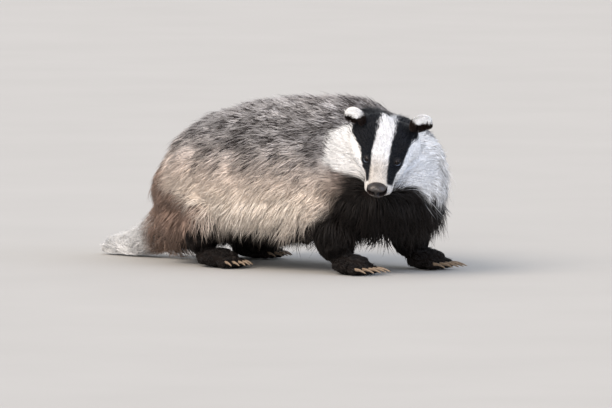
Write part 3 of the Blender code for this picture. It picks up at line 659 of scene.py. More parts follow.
print("cut finer it has", len(skin.data.polygons), "faces")

# %% [markdown]
# ### The face
# Brows, cheekbones, whisker pads and chin are soft bumps and hollows, pushed along the skin's own normals.
# The eye sockets are pressed in behind the eyeballs, and the furrow and the mouth are thin creases.


# %% Model the face
def eye_turn(side):
    """Rotation whose +X looks where the eye on a side (1 left, -1 right) looks, in the head's frame."""
    look = Vector(on_side(EYE_FACING, side)).normalized()
    return np.array(look.to_track_quat("X", "Z").to_matrix())


def mirrored(seen, centre, size):
    """The same soft bump on both sides of the face."""
    return blob(seen, centre, size) + blob(seen, on_side(centre, -1), size)


SOCKET_HALF, SOCKET_DEPTH = (0.0062, 0.0050), 0.0015
CREASE, CREASE_DEPTH = 0.0011, 0.0014
SOLE_LEVEL = 0.0002
seen = in_head(positions(skin.data))
facing = normals_of(skin.data) @ HEAD_TURN
swell = (0.0022 * mirrored(seen, (-0.068, 0.024, 0.028), (0.012, 0.010, 0.008))
         - 0.0022 * mirrored(seen, (-0.045, 0.021, 0.011), (0.010, 0.006, 0.008))
         + 0.0030 * mirrored(seen, (-0.076, 0.041, 0.000), (0.020, 0.012, 0.012))
         + 0.0022 * mirrored(seen, (-0.017, 0.017, -0.011), (0.012, 0.008, 0.009))
         - 0.0016 * mirrored(seen, (-0.040, 0.028, -0.010), (0.010, 0.010, 0.012))
         + 0.0012 * blob(seen, (-0.018, 0.0, -0.026), (0.010, 0.012, 0.006))
         - 0.0010 * blob(seen, (-0.110, 0.0, 0.050), (0.030, 0.008, 0.020)))
groove = np.exp(-(seen[:, 1] / CREASE) ** 2) * blob(seen, (0.0, 0.0, -0.0145), (0.012, 0.02, 0.006))
lip = np.exp(-((seen[:, 2] - MOUTH_LEVEL) / CREASE) ** 2) * ease((seen[:, 0] - MOUTH_CORNER) / 0.006)
lip *= seen[:, 2] > -0.03
seen = seen + facing * (swell - CREASE_DEPTH * groove - CREASE_DEPTH * lip)[:, None]
for side in (1, -1):
    turn = eye_turn(side)
    local = (seen - on_side(EYE_PLACE, side)) @ turn
    spot = np.sqrt(((local[:, 1:] / SOCKET_HALF) ** 2).sum(1))
    sunk = ease((1.35 - spot) / 0.35) * (local[:, 0] > -0.006)
    local[:, 0] = mix(local[:, 0], np.minimum(local[:, 0], -SOCKET_DEPTH), sunk)
    seen = local @ turn.T + on_side(EYE_PLACE, side)
placed = from_head(seen)
# The soles lie flat, just above the floor.
placed[:, 2] = np.maximum(placed[:, 2], SOLE_LEVEL)
put(skin.data, placed)
skin.data.polygons.foreach_set("use_smooth", np.ones(len(skin.data.polygons), bool))
skin.data.calc_loop_triangles()
print("skin has", len(skin.data.loop_triangles), "triangles")
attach(skin, "root")
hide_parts("head", "neck", "torso", "leg_front_left", "leg_front_right", "leg_hind_left",
            "leg_hind_right", "tail")

# %% [markdown]
# ## The markings
# A badger's colours are those of its hairs. On the back each guard hair is pale at the root and the tip
# with a dark band between, which mixes to grey. On the flank the band is short, and the coat looks cream.
# Chest, belly and legs are black, and the head has its white stripe, black stripes over the eyes and white
# cheeks. One function gives the colour and the strength of the band for any place, and both skin and coat
# take it from there.

# %% Regions of the body
def path_gap(place, rows):
    """Distance from each place to the line through rows of x, y, z and radius, less the radius, the way of
    the line there, and the share of the line passed."""
    rows = np.array(rows, float)
    best = np.full(len(place), 9.0)
    way, passed = np.zeros((len(place), 3)), np.zeros(len(place))
    for n, (a, b) in enumerate(zip(rows[:-1], rows[1:])):
        run = b[:3] - a[:3]
        t = np.clip((place - a[:3]) @ run / (run @ run), 0, 1)
        gap = np.linalg.norm(place - a[:3] - t[:, None] * run, axis=1) - (a[3] + t * (b[3] - a[3]))
        closer = gap < best
        best = np.where(closer, gap, best)
        way[closer] = unit(run)
        passed = np.where(closer, (n + t) / (len(rows) - 1), passed)
    return best, way, passed


def regions(place):
    """How much each place belongs to the head, the legs and the tail, from 0 to 1: smooth steps along the
    head's own axes, and the distance to the lines of the legs and the tail."""
    seen = in_head(place)
    head = ease((seen[:, 0] + 0.158) / 0.035) * ease((seen[:, 2] + 0.085) / 0.03)
    head *= ease((0.115 - np.abs(seen[:, 1])) / 0.02)
    leg_gap = np.min([path_gap(place, leg[0])[0] for leg in LEGS.values()], axis=0)
    tail_gap, tail_way, tail_passed = path_gap(place, TAIL * (1, 1, 1, TAIL_CORE))
    tail = ((tail_gap < 0.004) & (place[:, 2] < 0.090) & (place[:, 0] < -0.250)) | (place[:, 0] < -0.285)
    leg = ((leg_gap < 0.003) & (place[:, 2] < 0.085)) | (place[:, 2] < 0.046)
    return head, (leg & ~tail).astype(float), tail.astype(float), tail_way, tail_passed


# %% Colours of the coat by place
CREAM, BEIGE, TAUPE = linear("#fff4e8"), linear("#ffecde"), linear("#8f7466")
SILVER, SLATE, BAND = linear("#dedbdd"), linear("#a5a7b0"), linear("#2a2423")
JET, SOOT, EAR_DARK = linear("#0e1118"), linear("#181311"), linear("#241814")
SNOW, BLAZE, IVORY = linear("#fbfbfc"), linear("#e4e4e6"), linear("#c2bcb6")
# Half width of the white stripe by place behind the nose and its middle, which wanders a little, then the
# black stripe's lower edge, then the edge of the black throat on either side, which differs, as the head
# is turned.
STRIPE = np.array([(-0.214, 0.0), (-0.200, 0.0030), (-0.165, 0.0050), (-0.148, 0.0070), (-0.135, 0.0098),
                   (-0.120, 0.0130), (-0.100, 0.0138), (-0.079, 0.0145), (-0.059, 0.0147), (-0.048, 0.0142),
                   (-0.029, 0.0140), (-0.008, 0.0152)])
STRIPE_MIDDLE = np.array([(-0.200, 0.0020), (-0.150, -0.0008), (-0.120, -0.0002), (-0.100, 0.0),
                          (-0.060, -0.0028), (-0.030, -0.0022), (-0.008, 0.0)])
BROW_EDGE = np.array([(-0.230, -0.060), (-0.180, -0.030), (-0.160, -0.004), (-0.130, 0.012), (-0.110, 0.018),
                      (-0.095, 0.020), (-0.080, 0.019), (-0.070, 0.017), (-0.060, 0.011), (-0.050, 0.005),
                      (-0.033, 0.003), (-0.020, 0.001), (-0.011, 0.012)])
THROAT_RIGHT = np.array([(-0.150, -0.070), (-0.100, -0.048), (-0.078, -0.038), (-0.062, -0.035),
                         (-0.050, -0.032), (-0.036, -0.036), (-0.026, -0.060)])
THROAT_LEFT = np.array([(-0.150, -0.200), (-0.101, -0.105), (-0.091, -0.072), (-0.061, -0.022),
                        (-0.050, -0.028), (-0.036, -0.036), (-0.026, -0.060)])
# Lower edge of the white behind the right cheek by x, the front edge of the flank's pale coat and the
# brown rump's edge by height, and the lower edge of the white ruff by x. The ruff's front edge slants
# across the view.
CHEEK_EDGE = np.array([(0.155, 0.183), (0.203, 0.171), (0.237, 0.156)])
CHEST_EDGE = np.array([(0.000, 0.020), (0.035, 0.052), (0.053, 0.088), (0.068, 0.126), (0.090, 0.156),
                       (0.114, 0.178), (0.159, 0.205), (0.175, 0.228)])
RUMP_EDGE = np.array([(0.050, -0.022), (0.086, -0.036), (0.125, -0.118), (0.165, -0.160)])
RUFF_EDGE = np.array([(0.170, 0.170), (0.200, 0.155), (0.250, 0.110), (0.300, 0.102)])
NECK_EDGE, NECK_SLANT = 0.209, 0.62
print("white stripe up to", round(STRIPE[:, 1].max() * 2000, 1), "mm wide")


# %% Colour and band at a place
def across_view(place):
    """How far to the right each place lies as the camera sees it: its reach along the camera's right."""
    return right[0] * place[:, 0] + right[1] * place[:, 1]


def marking(place, under, leg, tail):
    """Colour and strength of the dark band at each place. Under is how much the skin there faces the
    floor, and leg and tail are how much it belongs to those. The body's colour goes from cream low on the
    flank to silver on the back, the head's from its three stripes."""
    x, y, z = place.T
    seen = in_head(place)
    behind, side, height = seen[:, 0], np.abs(seen[:, 1]), seen[:, 2]

    back = ease((z - np.clip(0.1195 - 0.06 * x, 0.110, 0.132)) / 0.115)
    neck = ease((x - 0.10) / 0.09) * ease((z - 0.14) / 0.06)
    rump = ease((read(RUMP_EDGE, z) - x) / 0.085) * (1 - back)
    colour = mix_rows(mix_rows(CREAM, BEIGE, ease((z - 0.09) / 0.09)), SILVER, back)
    colour = mix_rows(colour, TAUPE, 0.92 * rump)
    colour = mix_rows(colour, SLATE, 0.6 * neck)
    band = 0.02 + 0.17 * ease((z - 0.10) / 0.09) + 0.60 * back + 0.12 * rump + 0.15 * neck

    past_chest = x - read(CHEST_EDGE, z)
    tan = 0.55 * ease((past_chest + 0.060) / 0.060) * (0.4 + 0.6 * ease((z - 0.08) / 0.05))
    tan *= ease((0.185 - z) / 0.02)
    colour, band = mix_rows(colour, TAUPE, tan), band + 0.2 * tan
    black = ease(past_chest / 0.030 + 0.5) * ease((0.172 - z) / 0.02 + 0.5)
    thigh = np.exp(-((x - np.where(y < 0, -0.080, -0.160)) / 0.042) ** 4) * ease((0.060 - z) / 0.014)
    black = np.maximum(black, thigh)
    black = np.maximum(black, ease((under - 0.55) / 0.25) * ease((0.11 - z) / 0.03))
    black = np.maximum(black, leg)
    colour, band = mix_rows(colour, SOOT, black), mix(band, 0.0, black)

    patch = ease((x - 0.166) / 0.014 + 0.5) * ease((z - read(CHEEK_EDGE, x)) / 0.012 + 0.5)
    white = patch * ease((0.237 - z) / 0.012 + 0.5) * (y < -0.02)
    left_edge = NECK_EDGE + NECK_SLANT * np.maximum(0.138 - z, -0.025)
    left = ease((across_view(place) - left_edge) / 0.016 + 0.5) * ease((x - 0.160) / 0.025)
    left *= ease((z - read(RUFF_EDGE, x)) / 0.030 + 0.5) * ease((0.223 - z) / 0.012 + 0.5)
    white = np.maximum(white, left)
    colour, band = mix_rows(colour, SNOW, white), mix(band, 0.0, white)
    pale = ease((-0.275 - x) / 0.03) * tail
    colour, band = mix_rows(colour, SNOW, pale), mix(band, 0.09, pale)

    is_right = seen[:, 1] < 0
    throat_edge = np.where(is_right, read(THROAT_RIGHT, behind), read(THROAT_LEFT, behind))
    throat = ease((throat_edge - height) / 0.008 + 0.5)
    face = ease((behind + 0.166) / 0.026) * ease((height + 0.090) / 0.025) * ease((0.090 - side) / 0.010)
    face *= 1 - throat * ease((side - 0.058) / 0.012)
    nape = ease((behind + 0.222 + 0.016 * ease(seen[:, 1] / 0.02)) / 0.020)
    nape *= ease((0.068 - side) / 0.014) * ease((height + 0.045) / 0.020)
    face = np.maximum(face, nape)
    above = height > np.interp(behind, (-0.21, -0.15), (-0.04, -0.005))
    off_middle = np.abs(seen[:, 1] - read(STRIPE_MIDDLE, behind))
    stripe = ease((read(STRIPE, behind) - off_middle) / 0.0022 + 0.5) * above
    lower = np.where(is_right, 0.0030 * np.exp(-((behind + 0.056) / 0.014) ** 2),
                     0.0045 * ease((behind + 0.05) / 0.03))
    brow = ease((height + lower - read(BROW_EDGE, behind)) / 0.0035 + 0.5)
    # Towards the nose the white greys to ivory: partly the muzzle's own greyer hair, partly painted shade
    # beside the nose.
    nose_side = ease((behind + 0.065) / 0.035)
    head_colour = mix_rows(SNOW, IVORY, 0.7 * nose_side)
    head_colour = mix_rows(head_colour, SOOT, throat)
    head_colour = mix_rows(head_colour, JET, brow)
    head_colour = mix_rows(head_colour, mix_rows(BLAZE, IVORY, nose_side), stripe)
    return mix_rows(colour, head_colour, face), mix(band, 0.0, face)


skin_places = positions(skin.data)
_, skin_leg, skin_tail, _, _ = regions(skin_places)
skin_colour, skin_band = marking(skin_places, -normals_of(skin.data)[:, 2], skin_leg, skin_tail)
paint(skin, np.column_stack([skin_colour, skin_band]))
print("markings laid on", len(skin_places), "points")

# %% [markdown]
# ### Skin material
# Between the guard hairs one sees the underfur, a dense, matte felt in the same colours, darkened a little by
# a fine grain of painted shade.
# Its fine bumps are short hairs, too small to model, so noise stretched over a few tenths of a millimetre
# stands for them.

# %% Underfur felt
# Matted underfur: no gloss at all, and darkened by a fine grain of painted shade, so that gaps in the coat
# read as shade.
underfur, tree = material("matted_underfur")
UNDERFUR_GRAIN = 1 / 0.0009
felt = noise(tree, UNDERFUR_GRAIN, 2.0)
dull = times(tree, attribute(tree, "marking", "Color"), ramp(tree, felt, (0.3, 0.74), (0.7, 0.96)))
banded = blend(tree, attribute(tree, "marking", "Alpha"), dull, BAND)
surface(tree, {"Roughness": 0.95, "Specular IOR Level": 0.1}, banded, bump(tree, felt, 0.6, 0.0006))
skin.data.materials.clear()
skin.data.materials.append(underfur)
print("skin material is", underfur.name)

# %% [markdown]
# ## Eyes and lids
# A badger's eye is small, dark brown and round, with a clear bulging cornea that always holds a spark of
# light. Each eyeball is a ball with a slight swelling in front. Its colour goes by the angle from the line
# of sight, which is kept on the mesh as an attribute. The lids are a rim that rests on the ball and runs
# out under the fur.

# %% Eyeballs
# Angles from the line of sight at which pupil, iris and the dark ring round it end, the cornea's swelling
# and how wide it is, and the gap between ball and lids.
PUPIL, IRIS, LIMBUS = 0.40, 0.62, 0.80
SWELLING, CORNEA_WIDE = 0.05, 0.5
EYE_GAP = 0.0001
IRIS_TONE, IRIS_DARK = linear("#180f0b"), linear("#060505")


def eyeball(side):
    """Ball around the eye's place whose pole looks out, swollen in front by e to the power of minus the
    squared angle from the line of sight."""
    rings, sides = 40, 48
    polar = np.linspace(0.0, math.pi, rings)
    radius = (EYE_RADIUS - EYE_GAP) * (1 + SWELLING * np.exp(-(polar / CORNEA_WIDE) ** 2))
    points = unit_ball(rings, sides) * radius[:, None, None]
    return from_head(points @ eye_turn(side).T + on_side(EYE_PLACE, side))


# Wet cornea over a brown iris: a clear coat with a sharp reflection over a nearly black ball.
cornea, tree = material("wet_cornea_and_iris")
iris = ramp(tree, attribute(tree, "sight"), (PUPIL, IRIS_DARK * 0.2), (PUPIL + 0.05, IRIS_TONE),
            (IRIS, IRIS_TONE), (LIMBUS, IRIS_DARK))
surface(tree, {"Roughness": 0.5, "Specular IOR Level": 0.0, "Coat Weight": 0.5, "Coat Roughness": 0.03,
               "Coat IOR": 1.45}, iris)
for side, word in SIDES:
    eye = closed_piece("eyeball_" + word, [eyeball(side)])
    look = HEAD_TURN @ eye_turn(side)[:, 0]
    middle = from_head(on_side(EYE_PLACE, side))
    mark(eye, "sight", np.arccos(np.clip(unit(positions(eye.data) - middle) @ look, -1, 1)))
    eye.data.materials.append(cornea)
    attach(eye, "root")
    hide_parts("eye_" + word)
print("two eyeballs of", round(EYE_RADIUS * 2000, 1), "mm")

# %% Lids
LID_HALF = (0.0049, 0.0040)
# Bluish grey of the painted highlight on the lower lid's wet edge.
PAINTED_TEAR_GLINT = linear("#5f6c80")
# Rim profile from the edge on the ball outwards: added radius and height over the ball's surface there.
LID_PROFILE = np.array([(-0.0003, -0.0010), (0.0, 0.0003), (0.0005, 0.0004), (0.0012, 0.0),
                        (0.0022, -0.0010), (0.0034, -0.0026), (0.0042, -0.0046), (0.0020, -0.0054),
                        (-0.0003, -0.0040)])


def lids(side):
    """Rim round an almond opening: an ellipse drawn out at its corners, carried along the profile."""
    a = circle(48)
    corner = 1 + 0.10 * np.abs(np.cos(a)) ** 6
    rim_y, rim_z = LID_HALF[0] * corner * np.cos(a), LID_HALF[1] * np.sin(a)
    reach = np.hypot(rim_y, rim_z)
    out_y, out_z = rim_y / reach, rim_z / reach
    base = np.sqrt(EYE_RADIUS**2 - reach**2)
    added, high = LID_PROFILE.T
    points = np.stack([base[None, :] + high[:, None], rim_y + out_y * added[:, None],
                       rim_z + out_z * added[:, None]], -1)
    return from_head(points @ eye_turn(side).T + on_side(EYE_PLACE, side))


lid_points, lid_faces = [], []
for n, side in enumerate((1, -1)):
    ring = lids(side)
    rings, sides = ring.shape[:2]
    lid_points.append(ring.reshape(-1, 3))
    faces = grid_faces(rings + 1, sides) % (rings * sides)
    lid_faces.append(faces + n * rings * sides)
eyelids = new_mesh("eyelids", np.concatenate(lid_points), np.concatenate(lid_faces))
# A painted highlight lies along the wet edge of the lower lid: the first points of the profile, in the lower
# half of the ring.
share_round = np.arange(sides) / sides
glint_share = np.exp(-((share_round - 0.75) / 0.13) ** 2) * np.isin(np.arange(rings), (1, 2))[:, None]
mark(eyelids, "painted_tear_glint", np.tile(glint_share.ravel(), 2))
cleaned(eyelids.data)
# Bare lid skin: black, finely creased and damp. The thin bright line below the eye is a painted highlight of
# its wet edge, blended into the colour.
lid_skin, tree = material("damp_black_lid_skin")
LID_CREASE = 1 / 0.0004
crease = noise(tree, LID_CREASE, 2.0)
lid_tone = ramp(tree, crease, (0.3, linear("#0c0b0d")), (0.7, linear("#221d1f")))
surface(tree, {"Roughness": 0.45, "Specular IOR Level": 0.25},
        blend(tree, attribute(tree, "painted_tear_glint"), lid_tone, PAINTED_TEAR_GLINT), bump(tree, crease, 0.35, 0.0002))
eyelids.data.materials.append(lid_skin)
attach(eyelids, "root")
print("lids have", len(eyelids.data.polygons), "faces")

# %% [markdown]
# ## Nose pad
# The nose is a broad pad of thick, moist, pebbled skin. Its nostrils open low and forwards and run out to
# the sides in a slit, and a furrow parts them in the middle. It is a ball flattened in front and narrowed
# below, with the nostrils pressed in by a distance from a bent line.

# %% Pressed and narrowed ball
NOSTRIL_LINE = np.array([(0.0056, 0.0008, 0.0041), (0.0088, 0.0010, 0.0041), (0.0122, 0.0018, 0.0029),
                         (0.0153, 0.0042, 0.0014)])
NOSTRIL_DEPTH = 0.0085
FURROW_HALF, FURROW_DEPTH = 0.0008, 0.0009
WING_RISE = 0.0010


def nostril_share(side, z):
    """How deep the nostrils are at a distance to the side and a height on the pad: a smooth step of the
    distance from their line, in radii of the line."""
    pressed = np.zeros_like(side)
    for (y0, z0, r0), (y1, z1, r1) in zip(NOSTRIL_LINE[:-1], NOSTRIL_LINE[1:]):
        run_y, run_z = y1 - y0, z1 - z0
        t = np.clip(((side - y0) * run_y + (z - z0) * run_z) / (run_y**2 + run_z**2), 0, 1)
        gap = np.hypot(side - y0 - t * run_y, z - z0 - t * run_z) / (r0 + t * (r1 - r0))
        pressed = np.maximum(pressed, ease((1.25 - gap) / 0.6) * (0.45 + 0.55 * (1 - t * (r0 < 0.0028))))
    return pressed


def nose_pad():
    """Ball stretched to the pad's half sizes and narrowed below. Every point in the nostrils goes back by
    their share of the depth, and the middle furrow by a narrow trough; over each nostril a wing swells."""
    ball_x, ball_y, ball_z = np.moveaxis(unit_ball(90, 120), -1, 0)
    x = np.sign(ball_x) * np.abs(ball_x) ** 0.85 * NOSE_HALF[0]
    z = ball_z * NOSE_HALF[2]
    y = ball_y * NOSE_HALF[1] * (1 - 0.16 * ease((-z - 0.001) / 0.010) + 0.03 * ease(z / 0.006))
    front = ball_x > 0
    side = np.abs(y)
    furrow = np.exp(-(y / FURROW_HALF) ** 2) * ease((0.005 - z) / 0.006)
    x = x - front * (NOSTRIL_DEPTH * nostril_share(side, z) + FURROW_DEPTH * furrow)
    x = x + front * WING_RISE * np.exp(-((side - 0.0085) / 0.005) ** 2 - ((z - 0.0065) / 0.0025) ** 2)
    return np.stack([x, y, z], -1) + NOSE_CENTRE


nose = closed_piece("nose_pad", [from_head(nose_pad())])
on_pad = in_head(positions(nose.data)) - NOSE_CENTRE
# How deep in the nostrils each point lies. The material paints these points near black as painted shade.
inside = nostril_share(np.abs(on_pad[:, 1]), on_pad[:, 2]) * (on_pad[:, 0] > 0)
mark(nose, "inside", inside)
# Moist pebbled nose skin: dark brown to black, with a soft gloss broken by pebbles about 0.7 mm across.
# Inside the nostrils it is painted near black, as painted shade for the depth of the openings.
leather, tree = material("moist_pebbled_nose_skin")
PEBBLE, STAIN = 1 / 0.0007, 1 / 0.008
pebbles = node(tree, "TexVoronoi", {"Scale": PEBBLE}, {"Vector": node(tree, "TexCoord").outputs["Object"]})
tone = ramp(tree, noise(tree, STAIN, 3.0), (0.35, linear("#17110f")), (0.6, linear("#251b18")),
            (0.75, linear("#382821")))
surface(tree, {"Roughness": 0.42, "IOR": 1.4, "Coat Weight": 0.3, "Coat Roughness": 0.16},
        blend(tree, attribute(tree, "inside"), tone, linear("#060404")),
        bump(tree, pebbles.outputs["Distance"], 0.5, 0.00025))
nose.data.materials.append(leather)
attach(nose, "root")
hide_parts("nose")
print("nose pad is", round(NOSE_HALF[1] * 2000), "mm wide")

# %% [markdown]
# ## Ears
# The ears are small round cups set far back and low on the head, sunk in the fur, brown inside and with a
# bright white rim of hair. Each is one profile, from the back of the shell over the rim and into the cup,
# carried round.

# %% Ear shells
# Profile: place along the ear's axis, half width, half height and rise of its middle.
EAR_PROFILE = np.array([
    (-0.0120, 0.0008, 0.0008, 0.0000), (-0.0108, 0.0075, 0.0084, 0.0000), (-0.0080, 0.0127, 0.0142, 0.0000),
    (-0.0040, 0.0160, 0.0179, 0.0000), (0.0000, 0.0169, 0.0189, 0.0000), (0.0035, 0.0163, 0.0183, 0.0000),
    (0.0055, 0.0157, 0.0177, 0.0002), (0.0064, 0.0148, 0.0168, 0.0006), (0.0058, 0.0139, 0.0158, 0.0012),
    (0.0030, 0.0134, 0.0153, 0.0018), (-0.0005, 0.0112, 0.0128, 0.0020), (-0.0032, 0.0074, 0.0085, 0.0021),
    (-0.0044, 0.0010, 0.0012, 0.0022),
])
EAR_FLAT, EAR_TOP = -0.0080, 0.84
WHITE_FROM = 0.0062


def ear_turn(side):
    """Rotation of an ear's own frame: turned outwards about Z, then leant about X."""
    return turned(side * EAR_OUT, "Z") @ turned(-side * EAR_LEAN, "X")


def from_ear(points, side):
    """Points of an ear's own frame carried to the head and so to the body."""
    return from_head(points @ ear_turn(side).T + on_side(EAR_PLACE, side))


def in_ear(points, side):
    """Points of the body in an ear's own frame, the reverse of from_ear."""
    return (in_head(points) - on_side(EAR_PLACE, side)) @ ear_turn(side)


def ear_shell():
    """The profile carried round the ear's axis, with its half width across and its half height up, a
    little less above. Below, where the ear sinks into the head, it stands out by a quarter as much and is
    drawn up."""
    share = np.linspace(0, 1, 52)
    rows = np.column_stack([np.linspace(0, 1, len(EAR_PROFILE)), EAR_PROFILE])
    x, half_y, half_z, middle = smooth(rows, share).T[:, :, None]
    around = circle(64)[None, :]
    below = ease(-np.sin(around))
    out = np.where(x > EAR_FLAT, EAR_FLAT + (x - EAR_FLAT) * (1 - 0.75 * below), x + 0 * around)
    rise = half_z * np.sin(around) * np.where(np.sin(around) > 0, EAR_TOP, 1 - 0.12 * below)
    return np.stack([out, half_y * np.cos(around), middle + rise], -1)


def ear_white(local, forward, side):
    """How white an ear's hair is at places of its own frame, where forward is how much the ear's surface
    faces forwards: white over a slanting line and on the rim, dark in the cup and where the ear leaves the
    head."""
    wide, high = EAR_PROFILE[4, 1:3]
    off_axis = np.hypot(local[:, 1] / wide, local[:, 2] / (high * EAR_TOP))
    cup = ease((0.88 - off_axis) / 0.06) * (forward > -0.2)
    up = local[:, 2] + 0.10 * side * local[:, 1] - 0.25 * np.minimum(local[:, 0], 0)
    return ease((up - WHITE_FROM) / 0.003) * (1 - cup) * ease((local[:, 0] + 0.0110) / 0.004)


ears = {}
# Thin ear skin with downy hair: dark brown and matt, nearly black at its root, pale under the white rim.
ear_skin, tree = material("downy_ear_skin")
DOWN = 1 / 0.0008
down = noise(tree, DOWN, 3.0)
ear_tone = ramp(tree, down, (0.3, linear("#100c0b")), (0.7, linear("#281c17")))
surface(tree, {"Roughness": 0.8, "Specular IOR Level": 0.2},
        blend(tree, attribute(tree, "white"), ear_tone, SNOW * 0.8), bump(tree, down, 0.5, 0.0004))
for side, word in SIDES:
    ear = closed_piece("ear_shell_" + word, [from_ear(ear_shell(), side)])
    forward = normals_of(ear.data) @ HEAD_TURN @ ear_turn(side)[:, 0]
    mark(ear, "white", ear_white(in_ear(positions(ear.data), side), forward, side))
    ear.data.materials.append(ear_skin)
    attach(ear, "root")
    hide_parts("ear_" + word)
    ears[side] = ear
print("ear shells have", len(ears[1].data.polygons), "faces each")

# %% [markdown]
# ## Claws
# A badger digs with five strong claws on each paw, long and gently curved in front and short behind. Each
# is a blade, taller than it is wide, carried along a drooping line from its toe to a worn tip.

# %% Claw blades
# Heights of a claw's root and tip, its bow upwards, its half width and half height, and how far from the
# toe's middle it starts and how much of it the toe hides.
CLAW_RISE, CLAW_TIP, CLAW_BOW = 0.0105, 0.0060, 0.0012
CLAW_HALF = (0.0021, 0.0029)
CLAW_START, CLAW_HIDDEN = 0.007, 0.005


def claw(root, heading, length):
    """Oval section carried along a line that runs out from the toe and droops by a power of the way."""
    t = np.linspace(0, 1, 16)[:, None]
    around = circle(14)[None, :]
    way = np.array([math.cos(heading), math.sin(heading), 0.0])
    across = np.array([-way[1], way[0], 0.0])
    size = dome((1 - t) / 0.08 * 0.6 + 0.02) * (1 - 0.72 * t**1.2)
    line = root + way * CLAW_START + way * (length + CLAW_HIDDEN) * t[..., None]
    line[..., 2] = CLAW_RISE + (CLAW_TIP - CLAW_RISE) * t**1.6 + CLAW_BOW * np.sin(math.pi * t)
    wide = (CLAW_HALF[0] * size * np.cos(around))[..., None] * across
    high = (CLAW_HALF[1] * size * np.sin(around))[..., None] * np.array([0.0, 0.0, 1.0])
    return line + wide + high


# Worn horn: pale brown keratin with fine streaks along the blade and a dull shine.
horn, tree = material("worn_claw_horn")
STREAK = (1 / 0.006, 1 / 0.0006, 1 / 0.0006)
stretch = node(tree, "Mapping", {"Scale": STREAK}, {"Vector": node(tree, "TexCoord").outputs["Object"]})
streak = node(tree, "TexNoise", {"Scale": 1.0, "Detail": 3.0}, {"Vector": stretch.outputs[0]}).outputs["Fac"]
surface(tree, {"Roughness": 0.42, "IOR": 1.54}, ramp(tree, streak, (0.3, linear("#54453a")),
        (0.7, linear("#9a8670"))), bump(tree, streak, 0.3, 0.0002))
for name in LEGS:
    blades = closed_piece("claws_" + name, [claw(root, heading, length)
                                            for leg, root, heading, length in toe_places if leg == name])
    blades.data.materials.append(horn)
    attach(blades, "root")
print(len(toe_places), "claws")

# %% [markdown]
# ## The coat
# Real fur has millions of hairs. Here a tuft stands for some dozens of them: a thin three-sided spike that
# starts in the skin, lies along the body and lifts off towards its tip. Roots are scattered over the skin,
# denser where the fur is short. From each root a tuft walks over the surface in a few steps along the lie
# of the coat: back along the spine and down the sides, back from the nose on the head, down the legs. Low
# on the flank it leaves the surface and hangs. Neighbours lean together into soft clumps, because damp and
# oily hair does that.


# %% Lie of the hair by place
def lie(place, hanging):
    """Way in which the coat lies at each place, before it is laid on the surface: the ways of trunk, face,
    leg and tail, mixed by how much the place belongs to each."""
    x, y, z = place.T
    head, leg, tail, tail_way, _ = regions(place)
    heading = np.radians(-62.0 * ease((x - 0.15) / 0.11))
    flank, rump = ease((0.262 - z) / 0.10), ease((-0.16 - x) / 0.12)
    cheek = ease((x - 0.20) / 0.05)
    down = 0.12 + 0.50 * flank + 1.1 * rump + 0.35 * cheek * flank + 0.9 * hanging
    body = unit(np.stack([-np.cos(heading), -np.sin(heading), -down], -1))
    seen = in_head(place)
    side = np.sign(seen[:, 1])
    jowl = ease((np.abs(seen[:, 1]) - 0.024) / 0.02) * ease((0.016 - seen[:, 2]) / 0.02)
    face = np.stack([-1.0 + 0.2 * jowl, side * (0.10 + 0.55 * jowl), -0.55 * jowl], -1)
    for s in (1, -1):
        off = seen - on_side(EYE_PLACE, s)
        near = np.exp(-((off / (0.013, 0.010, 0.010)) ** 2).sum(1))
        face += 1.1 * near[:, None] * unit(off * (0.0, 1.0, 1.0))
    way = mix_rows(body, unit(face) @ HEAD_TURN.T, head)
    foot = ease((0.040 - z) / 0.018)
    limb_way = np.stack([-0.12 + 1.1 * foot, 0 * x, -1.0 + 0.6 * foot], -1)
    way = mix_rows(way, unit(limb_way), leg)
    return unit(mix_rows(way, tail_way, tail))


# %% Length, width and lift
RUFF_LIFT = 0.0095
EAR_FOOT = np.array(EAR_PLACE) - (0.0, 0.0, 0.012)


def ruff(place):
    """How much each place belongs to the deep ruff on the left of the neck, which shows behind the cheek: a
    smooth step across the view times one in height."""
    return ease((across_view(place) - 0.190) / 0.035) * ease((place[:, 2] - 0.085) / 0.03)


def measures(place, facing):
    """Length, width and lift of a tuft by its root and the way the skin faces there, and whether it hangs:
    short on muzzle and feet, long on back and flank, longest in the fringe and on the rump."""
    seen = in_head(place)
    head, leg, tail, _, tail_passed = regions(place)
    low = ease((-0.05 - facing[:, 2]) / 0.35) * (1 - head) * (1 - leg) * (1 - tail)
    belly = low * ease((0.065 - np.abs(place[:, 1])) / 0.03) * ease((-0.6 - facing[:, 2]) / 0.2)
    rump = ease((-0.15 - place[:, 0]) / 0.08)
    length = 0.050 + 0.010 * low + 0.008 * rump
    length = mix(length, 0.026, belly)
    back_of_face = np.clip(-seen[:, 0], 0.0, 0.16)
    jowl = ease((np.abs(seen[:, 1]) - 0.030) / 0.02) * ease((0.010 - seen[:, 2]) / 0.02)
    jowl *= ease((back_of_face - 0.035) / 0.04)
    under = ease((-0.022 - seen[:, 2]) / 0.014) * ease((back_of_face - 0.03) / 0.03)
    loose = np.maximum(jowl, under)
    face_length = 0.0032 + 0.075 * back_of_face + 0.020 * loose
    by_ear = mirrored(seen, EAR_FOOT, (0.022, 0.020, 0.020))
    length = mix(length, face_length + 0.006 * by_ear, head)
    length = mix(length, 0.010 + 0.012 * ease((place[:, 2] - 0.02) / 0.04), leg)
    length = mix(length, 0.052 - 0.018 * tail_passed, tail)
    width = mix(0.00142 + 0 * length, 0.0006 + 0.005 * back_of_face, head)
    width = mix(mix(width, 0.0012, leg), 0.0010, tail)
    on_neck = ease((place[:, 0] - 0.15) / 0.06)
    lift = mix(COAT_DEPTH, 0.014 - 0.005 * ease((place[:, 2] - 0.19) / 0.03), on_neck)
    lift = lift + RUFF_LIFT * ruff(place)
    lift = mix(lift, 0.006, belly)
    lift = mix(lift, 0.0008 + 0.018 * back_of_face + 0.008 * loose + 0.006 * by_ear, head)
    lift = mix(lift, 0.0028, leg)
    lift = mix(lift, 0.020 - 0.012 * tail_passed, tail)
    return length, width, lift, low * (1 - belly)


